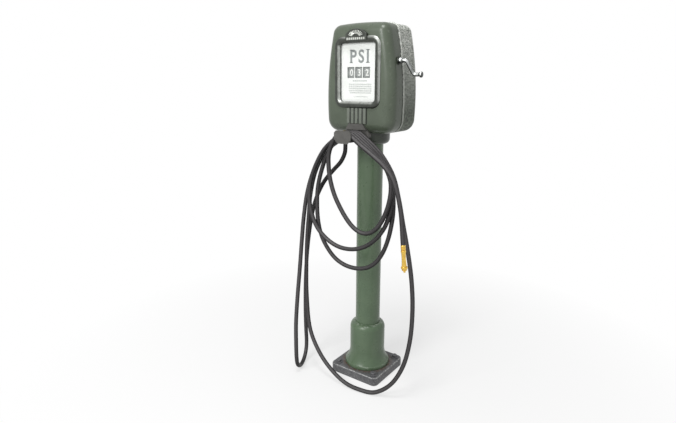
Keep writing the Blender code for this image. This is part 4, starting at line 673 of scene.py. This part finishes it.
def reliefBar(start, end, halfWide):
    # one raised bar on the badge, chamfered all round
    start, end = Vector(start), Vector(end)
    along = (end - start).normalized()
    across = Vector((along.y, -along.x)) * halfWide
    rings = []
    for y, inset in ((badge["front"] + badge["sink"], 0.0), (badge["front"] - 0.5 * badge["proud"], 0.0),
                     (badge["front"] - badge["proud"], badge["chamfer"])):
        tip = along * inset
        narrow = across * (1 - inset / halfWide)
        rings.append([(p.x, y, p.y) for p in (start + tip - narrow, end - tip - narrow, end - tip + narrow,
                                              start + tip + narrow)])
    return skin("badgeBar", rings, "capped", [0.2, 0.6, 1.0])


bars = []
fan = Vector((badge["fanX"], badge["fanZ"]))
for k in range(badge["fanRibs"]):
    turn = radians(badge["fanFrom"] + badge["fanSweep"] * k / (badge["fanRibs"] - 1))
    way = Vector((cos(turn) * badge["fanStretch"], sin(turn)))
    bars.append(reliefBar(fan + way * badge["inner"], fan + way * badge["outer"], badge["ribHalf"]))
for k in range(badge["teeth"]):
    x = (k - (badge["teeth"] - 1) / 2) * badge["toothWide"] * 1.5
    bars.append(reliefBar((x, badge["toothLow"]), (x, badge["toothHigh"]), badge["toothWide"] / 2))
badgeGrid = bmesh.new()
for bar in bars:
    badgeGrid.from_mesh(bar)
    bpy.data.meshes.remove(bar)
finishPiece(closeMesh(badgeGrid, "badgeRelief"), "gunmetal",
            finish=handledMetal("rubbedGunmetal", "#9a9e97", "#7b7f78", "#d0d3cc", 0.65, 0.30, 35))


# column, foot casting, collar: turned pieces
column = {"radius": 0.04445, "wall": 0.0055, "top": 0.8837, "plateTop": 0.0313}
pipeBore = column["radius"] - column["wall"]
columnProfile = [(pipeBore, column["plateTop"]), (column["radius"], column["plateTop"]),
                 (column["radius"], column["top"]), (pipeBore, column["top"])]
finishPiece(turnedSkin("columnPipe", columnProfile, 72), "column_enamel", ["column_tube"])

foot = {"radius": 0.064, "rimR": 0.082, "rimHigh": 0.012, "flareHigh": 0.060, "top": 0.196, "shoulder": 0.022,
        "wall": 0.007, "socket": 0.055, "embed": 0.001, "edge": 0.001, "softEdge": 0.003, "flareSteps": 16}
rimTop = column["plateTop"] + foot["rimHigh"]
flareTop = column["plateTop"] + foot["flareHigh"]
flareR = foot["rimR"] - foot["softEdge"]
socketR = column["radius"] + gap
footProfile = [(foot["radius"] - foot["wall"], column["plateTop"]),
               (foot["rimR"] - foot["edge"], column["plateTop"]),
               (foot["rimR"], column["plateTop"] + foot["edge"]), (foot["rimR"], rimTop - foot["softEdge"]),
               (foot["rimR"] - foot["edge"], rimTop - foot["edge"]), (flareR, rimTop)]
footWear = [0.0, 0.2, 0.3, 0.3, 0.45, 0.35]
for k in range(1, foot["flareSteps"] + 1):
    share = k / foot["flareSteps"]
    footProfile.append((flareR - (flareR - foot["radius"]) * sin(share * pi / 2) ** 1.2,
                        rimTop + (flareTop - rimTop) * share ** 1.3))
    footWear.append(0.12)
wide = foot["radius"] - socketR
for turn in quarterTurn(12):
    footProfile.append((socketR + foot["embed"] + (wide - foot["embed"]) * cos(turn),
                        foot["top"] - foot["shoulder"] + foot["shoulder"] * sin(turn)))
    footWear.append(0.12 + 0.5 * sin(turn) ** 3)
footProfile += [(socketR, foot["top"]), (socketR, foot["top"] - foot["socket"]),
                (foot["radius"] - foot["wall"], foot["top"] - foot["socket"] - foot["wall"])]
footWear += [0.5, 0.0, 0.0]
finishPiece(turnedSkin("footCasting", footProfile, 72, wearAndPaintedLight=footWear), "column_enamel", ["foot_casting"])

collar = {"radius": 0.066, "low": 0.856, "lip": 0.0035, "bore": 0.036}
collarTop = head["low"] - gap
collarRound = collar["radius"] - socketR - collar["lip"]
collarProfile = [(collar["bore"], column["top"] + gap), (collar["bore"], collarTop),
                 (collar["radius"], collarTop)]
for turn in quarterTurn(10):
    collarProfile.append((collar["radius"] - collarRound * (1 - cos(turn)),
                          collar["low"] + collarRound * (1 - sin(turn))))
collarProfile += [(socketR, collar["low"]), (socketR, column["top"] + gap)]
finishPiece(turnedSkin("neckCollar", collarProfile, 72), "dark_enamel", ["neck_collar"])


# base plate with softened edges, and a hexagon bolt at each corner
plate = {"side": 0.198, "thick": 0.031, "corner": 0.018, "edge": 0.004, "underEdge": 0.001,
         "boltSpread": 0.076, "headR": 0.0105, "headHigh": 0.008, "washerR": 0.0135, "washerThick": 0.0025,
         "boltSteps": 24}


def plateRing(z, inset):
    half = plate["side"] / 2 - inset
    return [(x, y, z) for x, y in roundedBox((-half, -half), (half, half), plate["corner"] - inset, 8)]


plateRings, plateWear = [plateRing(0.0, plate["underEdge"]), plateRing(plate["underEdge"], 0.0)], [0.3, 0.4]
for turn in quarterTurn(6):
    plateRings.append(plateRing(plate["thick"] - plate["edge"] + plate["edge"] * sin(turn),
                                plate["edge"] * (1 - cos(turn))))
    plateWear.append(0.35 + 0.65 * sin(2 * turn))
plateRings.append(plateRing(plate["thick"], plate["edge"] + 0.006))
plateWear.append(0.12)
finishPiece(skin("basePlate", plateRings, "capped", plateWear), "plate_steel", ["base_plate"])
boltAngles = [2 * pi * k / plate["boltSteps"] for k in range(plate["boltSteps"])]
for number, (sx, sy) in enumerate(((1, 1), (-1, 1), (-1, -1), (1, -1)), 1):
    at = Vector((sx * plate["boltSpread"], sy * plate["boltSpread"], column["plateTop"]))
    tall = plate["washerThick"] + plate["headHigh"]
    rings = []
    for radius, height in ((plate["washerR"], 0.0), (plate["washerR"], 0.0019),
                           (plate["washerR"] - 0.0008, plate["washerThick"])):
        rings.append([at + Vector((radius * cos(a), radius * sin(a), height)) for a in boltAngles])
    for radius, height in ((plate["headR"], plate["washerThick"] + 0.0001), (plate["headR"], tall - 0.0014),
                           (plate["headR"] * 0.9, tall), (plate["headR"] * 0.2, tall)):
        ring = []
        for angle in boltAngles:
            flat = cos(pi / 6) / cos((angle + number) % (pi / 3) - pi / 6)
            ring.append(at + Vector((radius * flat * cos(angle), radius * flat * sin(angle), height)))
        rings.append(ring)
    finishPiece(skin(f"anchorBoltHead{number}", rings, "capped"), "plate_steel", [f"anchor_bolt_{number}"],
                sharp=25)
print("stand made")


# crank: hub, bent rod and flared knob, turning with the counter shaft
crank = {"y": -0.040, "z": 1.123, "hubR": 0.0095, "hubLength": 0.010, "rodR": 0.006, "back": 0.022,
         "drop": 0.042, "lead": 0.005, "bendR": 0.010, "slope": 72.0, "grip": 0.012, "knobR": 0.0095,
         "knobLength": 0.010, "flangeThick": 0.0035, "seat": 0.0015, "socketR": 0.0063, "socketDepth": 0.0053}
wallX = head["half"] - head["sideR"] + sqrt(head["sideR"] ** 2 - (crank["z"] - head["widestZ"]) ** 2)
hubX = wallX + crank["seat"] + crank["flangeThick"] + gap
hubEnd = hubX + crank["hubLength"]
crankAt = (0.0, crank["y"], crank["z"])
hr = crank["hubR"]


def crankPiece(mesh, node):
    # handled steel, with a painted highlight on the side that faces front at rest and painted shade on the
    # far side
    finishPiece(rubToward(mesh, (0.15, -0.75, 0.5)), "bright_steel", [node], "crank", crankSteelPaintedHighlight)


socketEnd = hubX + crank["socketDepth"]
hubProfile = [(crank["socketR"], hubX), (hr * 0.94, hubX), (hr, hubX + 0.0008), (hr, hubX + 0.006),
              (hr * 0.97, hubX + 0.0072), (hr * 0.86, hubX + 0.0088), (hr * 0.66, hubEnd), (0.001, hubEnd),
              (0.001, socketEnd), (crank["socketR"], socketEnd)]
crankPiece(turnedSkin("crankHub", hubProfile, 48, crankAt, (1, 0, 0)), "crank_hub")
rodX = hubEnd + gap
slope, bendR = radians(crank["slope"]), crank["bendR"]
throw = hypot(crank["back"], crank["drop"])
sweepX = rodX + crank["lead"]
gripX = sweepX + 2 * bendR * sin(slope) + (throw - 2 * bendR * (1 - cos(slope))) / tan(slope)
knobX = gripX + crank["grip"]
bendTurns = [slope * k / 4 for k in range(5)]
rodLine = [(rodX, 0.0)] + [(sweepX + bendR * sin(t), bendR * (1 - cos(t))) for t in bendTurns]
rodLine += [(gripX - bendR * sin(t), throw - bendR * (1 - cos(t))) for t in reversed(bendTurns)]
bend = [(x, crank["y"] + crank["back"] * out / throw, crank["z"] - crank["drop"] * out / throw)
        for x, out in rodLine + [(knobX, throw)]]
rodPath = smoothRoute(bend, 5)
rodRings = []
for k, spot in enumerate(rodPath):
    ahead = wayAt(rodPath, k)
    sideways = ahead.cross(Vector((0, crank["drop"], crank["back"]))).normalized()
    upward = sideways.cross(ahead)
    waist = crank["rodR"] * (1.0 - 0.04 * sin(pi * k / (len(rodPath) - 1)))
    rodRings.append(circleAt(spot, sideways, upward, waist, 20))
crankPiece(skin("crankRod", rodRings, "capped"), "crank_rod")
kr, kl = crank["knobR"], crank["knobLength"]
knobProfile = [(0.001, 0.0), (crank["rodR"] * 0.86, 0.0), (crank["rodR"], 0.0006), (kr * 0.72, kl * 0.16),
               (kr * 0.92, kl * 0.36), (kr, kl * 0.58), (kr * 0.985, kl * 0.76), (kr * 0.88, kl * 0.91),
               (kr * 0.66, kl), (0.001, kl)]
knobAt = (knobX + gap, crank["y"] + crank["back"], crank["z"] - crank["drop"])
crankPiece(turnedSkin("crankKnob", knobProfile, 40, knobAt, (1, 0, 0), "capped"), "crank_knob")
print("crank made")


# regulator spring: a round wire coil between the diaphragm's disc and the nut
spring = {"coilR": 0.011, "wire": 0.0024, "turns": 5, "steps": 36, "round": 12}
springLow, springHigh = (Vector(c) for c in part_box("regulator_spring"))
springMid = (springLow + springHigh) / 2
springX = (springLow.x + spring["wire"] / 2, springHigh.x - spring["wire"] / 2)
springSteps = spring["turns"] * spring["steps"]
springPath = []
for k in range(springSteps + 1):
    turn = 2 * pi * k / spring["steps"]
    springPath.append(Vector((springX[0] + (springX[1] - springX[0]) * k / springSteps,
                              springMid.y + spring["coilR"] * cos(turn),
                              springMid.z + spring["coilR"] * sin(turn))))
springRings = []
for k, spot in enumerate(springPath):
    outward = Vector((0.0, spot.y - springMid.y, spot.z - springMid.z)).normalized()
    across = wayAt(springPath, k).cross(outward).normalized()
    springRings.append(circleAt(spot, outward, across, spring["wire"] / 2, spring["round"]))
springCoil = finishPiece(skin("regulatorSpringCoil", springRings, "capped"), "bright_steel",
                         ["regulator_spring"], None)
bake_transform(springCoil)
print("spring made")


# number drums: smooth rims, with ten painted figures round each
drum = {"y": -0.020635, "z": 1.088, "radius": 0.052, "wide": 0.027, "pitch": 0.030, "rim": 0.005,
        "web": 0.004, "hubR": 0.010, "bore": 0.0043, "frameLeft": -0.047, "gearLeft": 0.046,
        "figureHigh": 0.021, "type": 0.030, "bold": 0.0006, "narrow": 0.9, "paint": 0.00015, "edge": 0.0006}
counters = (("hundreds", -1, 0, drum["frameLeft"] + gap, -drum["pitch"] / 2 - gap / 2),
            ("tens", 0, 3, -drum["pitch"] / 2 + gap / 2, drum["pitch"] / 2 - gap / 2),
            ("units", 1, 2, drum["pitch"] / 2 + gap / 2, drum["gearLeft"] - gap))


def flatText(words, size, weight, tall, stretch=1.0):
    # flat lettering about its own middle, made that tall
    curve = bpy.data.curves.new("lettering", "FONT")
    curve.body = words
    curve.size = size
    curve.offset = weight
    curve.resolution_u = 4
    curve.align_x = "CENTER"
    curve.align_y = "CENTER"
    helper = addObject("lettering", curve)
    bpy.context.view_layer.update()
    mesh = bpy.data.meshes.new_from_object(helper.evaluated_get(bpy.context.evaluated_depsgraph_get()))
    bpy.data.objects.remove(helper)
    bpy.data.curves.remove(curve)
    grid = bmesh.new()
    grid.from_mesh(mesh)
    bpy.data.meshes.remove(mesh)
    spots = [v.co for v in grid.verts]
    low = Vector((min(p.x for p in spots), min(p.y for p in spots), 0))
    high = Vector((max(p.x for p in spots), max(p.y for p in spots), 0))
    bmesh.ops.translate(grid, verts=grid.verts, vec=-(low + high) / 2)
    grow = tall / (high - low).y
    bmesh.ops.scale(grid, vec=(grow * stretch, grow, 1.0), verts=grid.verts)
    return grid


def thicken(grid, depth, place):
    # gives flat lettering a back and sides, then puts every point where place says
    bmesh.ops.remove_doubles(grid, verts=grid.verts, dist=1e-7)
    grown = bmesh.ops.extrude_face_region(grid, geom=list(grid.faces))["geom"]
    for part in grown:
        if isinstance(part, bmesh.types.BMVert):
            part.co.z += depth
    for v in grid.verts:
        v.co = place(v.co)


def gather(whole, grid):
    # adds one small mesh to the whole
    part = bpy.data.meshes.new("part")
    grid.to_mesh(part)
    grid.free()
    whole.from_mesh(part)
    bpy.data.meshes.remove(part)


for name, place, shown, hubLow, hubHigh in counters:
    x = place * drum["pitch"]
    r, rim = drum["radius"], drum["radius"] - drum["rim"]
    half, web, edge = drum["wide"] / 2, drum["web"] / 2, drum["edge"]
    profile = [(drum["bore"], hubLow), (drum["hubR"], hubLow), (drum["hubR"], x - web), (rim, x - web),
               (rim, x - half), (r - edge, x - half), (r, x - half + edge), (r, x + half - edge),
               (r - edge, x + half), (rim, x + half), (rim, x + web), (drum["hubR"], x + web),
               (drum["hubR"], hubHigh), (drum["bore"], hubHigh)]
    finishPiece(turnedSkin(f"{name}NumberDrum", profile, 96, (0, drum["y"], drum["z"]), (1, 0, 0)),
                "drum_grey", [f"{name}_drum"], f"{name}_counter")
    ring = bmesh.new()
    for figure in range(10):
        grid = flatText(str(figure), drum["type"], drum["bold"], drum["figureHigh"], drum["narrow"])
        for k in range(-6, 7):  # cuts across, so that the strokes bend round the drum
            cut = drum["figureHigh"] * k / 13
            bmesh.ops.bisect_plane(grid, geom=list(grid.verts) + list(grid.edges) + list(grid.faces),
                                   plane_co=(0, cut, 0), plane_no=(0, 1, 0))
        centre = radians(36 * (figure - shown))

        def onDrum(p, centre=centre):
            turn = centre + p.y / drum["radius"]
            out = drum["radius"] + drum["paint"] * 0.2 + p.z
            return Vector((x + p.x, drum["y"] - out * cos(turn), drum["z"] + out * sin(turn)))

        thicken(grid, drum["paint"], onDrum)
        gather(ring, grid)
    finishPiece(closeMesh(ring, f"{name}Figures"), "white_enamel", (), f"{name}_counter", figureWhite)
print("counter made")


# printed panel: a plain unit heading and rows of plain numbers
sign = {"front": -0.0763, "ink": 0.0001, "headingX": 0.006, "headingZ": 1.1375, "headingHigh": 0.041,
        "type": 0.040, "bold": 0.0009, "narrow": 0.92, "footHigh": 0.0026, "smallType": 0.006,
        "smallBold": 0.00012}
rowsOfNumbers = ((0.005, 1.0622, 0.0048, range(10, 71, 10)), (0.006, 1.0512, 0.0044, range(18, 30)),
                 (0.006, 1.0446, 0.0044, range(30, 42)), (0.006, 1.0380, 0.0044, range(42, 54)),
                 (0.006, 1.0314, 0.0044, range(54, 66)), (0.007, 1.0248, 0.0044, range(66, 77)),
                 (0.008, 1.0128, 0.0044, range(1, 12)))


def printOnPanel(name, grids):
    sheet = bmesh.new()
    for grid in grids:
        gather(sheet, grid)
    finishPiece(closeMesh(sheet, name), "white_enamel", finish=signInk)


def slab(x0, z0, x1, z1):
    grid = bmesh.new()
    grid.faces.new([grid.verts.new((a, b, 0.0)) for a, b in ((x0, z0), (x1, z0), (x1, z1), (x0, z1))])
    return grid


def onPanel(x, z):
    return lambda p: Vector((x + p.x, sign["front"] - sign["ink"] * 0.2 - p.z, z + p.y))


heading = []
tall = sign["headingHigh"]
for letter, at in (("P", -0.0260), ("S", 0.0040), ("I", 0.0285)):
    grid = flatText(letter, sign["type"], sign["bold"], tall, sign["narrow"])
    thicken(grid, sign["ink"], onPanel(sign["headingX"] + at, sign["headingZ"]))
    heading.append(grid)
for at, spread in ((-0.0345, 0.0064), (0.0285, 0.0070)):  # slab feet under the straight stems
    for end in (-1, 1):
        low = end * tall / 2 - (sign["footHigh"] if end > 0 else 0.0)
        grid = slab(-spread, low, spread, low + sign["footHigh"])
        thicken(grid, sign["ink"], onPanel(sign["headingX"] + at, sign["headingZ"]))
        heading.append(grid)
printOnPanel("signHeading", heading)
numberRows = []
for x, z, high, numbers in rowsOfNumbers:
    grid = flatText(" ".join(map(str, numbers)), sign["smallType"], sign["smallBold"], high)
    thicken(grid, sign["ink"], onPanel(x, z))
    numberRows.append(grid)
printOnPanel("signNumbers", numberRows)
print("sign made")


def seenDirectly(tree):
    # 1 where the camera, a reflection or glass looks straight at it
    rays = addNode(tree, "ShaderNodeLightPath").outputs
    seen = rays["Is Camera Ray"]
    for ray in ("Is Glossy Ray", "Is Transmission Ray"):
        seen = addNode(tree, "ShaderNodeMath", {"operation": "MAXIMUM"}, {0: seen, 1: rays[ray]}).outputs[0]
    return seen


# studio: white floor that keeps the shadow, soft light from the front and from above
studio = {"floorHalf": 9.0, "floorDrop": 0.0004, "lightColour": "#ffffff", "sky": 0.32, "aimZ": 0.75,
          "lamps": (("keyPanel", (-0.3, -2.9, 2.3), 1.3, 61.0), ("topPanel", (0.2, -0.9, 3.0), 0.7, 28.0))}
reach = studio["floorHalf"]
floorMesh = closeMesh(slab(-reach, -reach, reach, reach), "studioFloor")
floor = addObject("studioFloor", floorMesh)
floor.location.z = -studio["floorDrop"]
paper = bpy.data.materials.new("whitePaperSweep")  # matt paper: white, keeps a soft shadow near the foot
paper.use_nodes = True
tree = paper.node_tree
tree.nodes.clear()
diffuse = addNode(tree, "ShaderNodeBsdfDiffuse", None, {"Color": linear("#fbfbfb")})
glow = addNode(tree, "ShaderNodeEmission", None, {"Color": linear(studio["lightColour"]), "Strength": 1.0})
spot = addNode(tree, "ShaderNodeTexCoord").outputs["Object"]
away = addNode(tree, "ShaderNodeVectorMath", {"operation": "LENGTH"}, {0: spot}).outputs["Value"]
fade = addNode(tree, "ShaderNodeMapRange", {"clamp": True},
               {"Value": away, "From Min": 0.25, "From Max": 1.3, "To Min": 0.62,
                "To Max": 1.0}).outputs["Result"]
share = addNode(tree, "ShaderNodeMath", {"operation": "MULTIPLY"},
                {0: seenDirectly(tree), 1: fade}).outputs[0]
blend = addNode(tree, "ShaderNodeMixShader", None, {0: share, 1: diffuse.outputs[0], 2: glow.outputs[0]})
addNode(tree, "ShaderNodeOutputMaterial", None, {"Surface": blend.outputs[0]})
floorMesh.materials.append(paper)

world = bpy.data.worlds.new("studioWorld")
bpy.context.scene.world = world
world.use_nodes = True
tree = world.node_tree
tree.nodes.clear()
level = addNode(tree, "ShaderNodeMapRange", None,
                {"Value": seenDirectly(tree), "To Min": studio["sky"], "To Max": 1.0}).outputs["Result"]
sky = addNode(tree, "ShaderNodeBackground", None, {"Color": linear(studio["lightColour"]), "Strength": level})
addNode(tree, "ShaderNodeOutputWorld", None, {"Surface": sky.outputs[0]})

for name, place, size, watts in studio["lamps"]:
    lamp = bpy.data.lights.new(name, "AREA")
    lamp.shape = "SQUARE"
    lamp.size = size
    lamp.energy = watts
    made = addObject(name, lamp)
    made.location = place
    made.rotation_euler = (Vector((0, 0, studio["aimZ"])) - Vector(place)).to_track_quat("-Z", "Y").to_euler()
print("studio made")
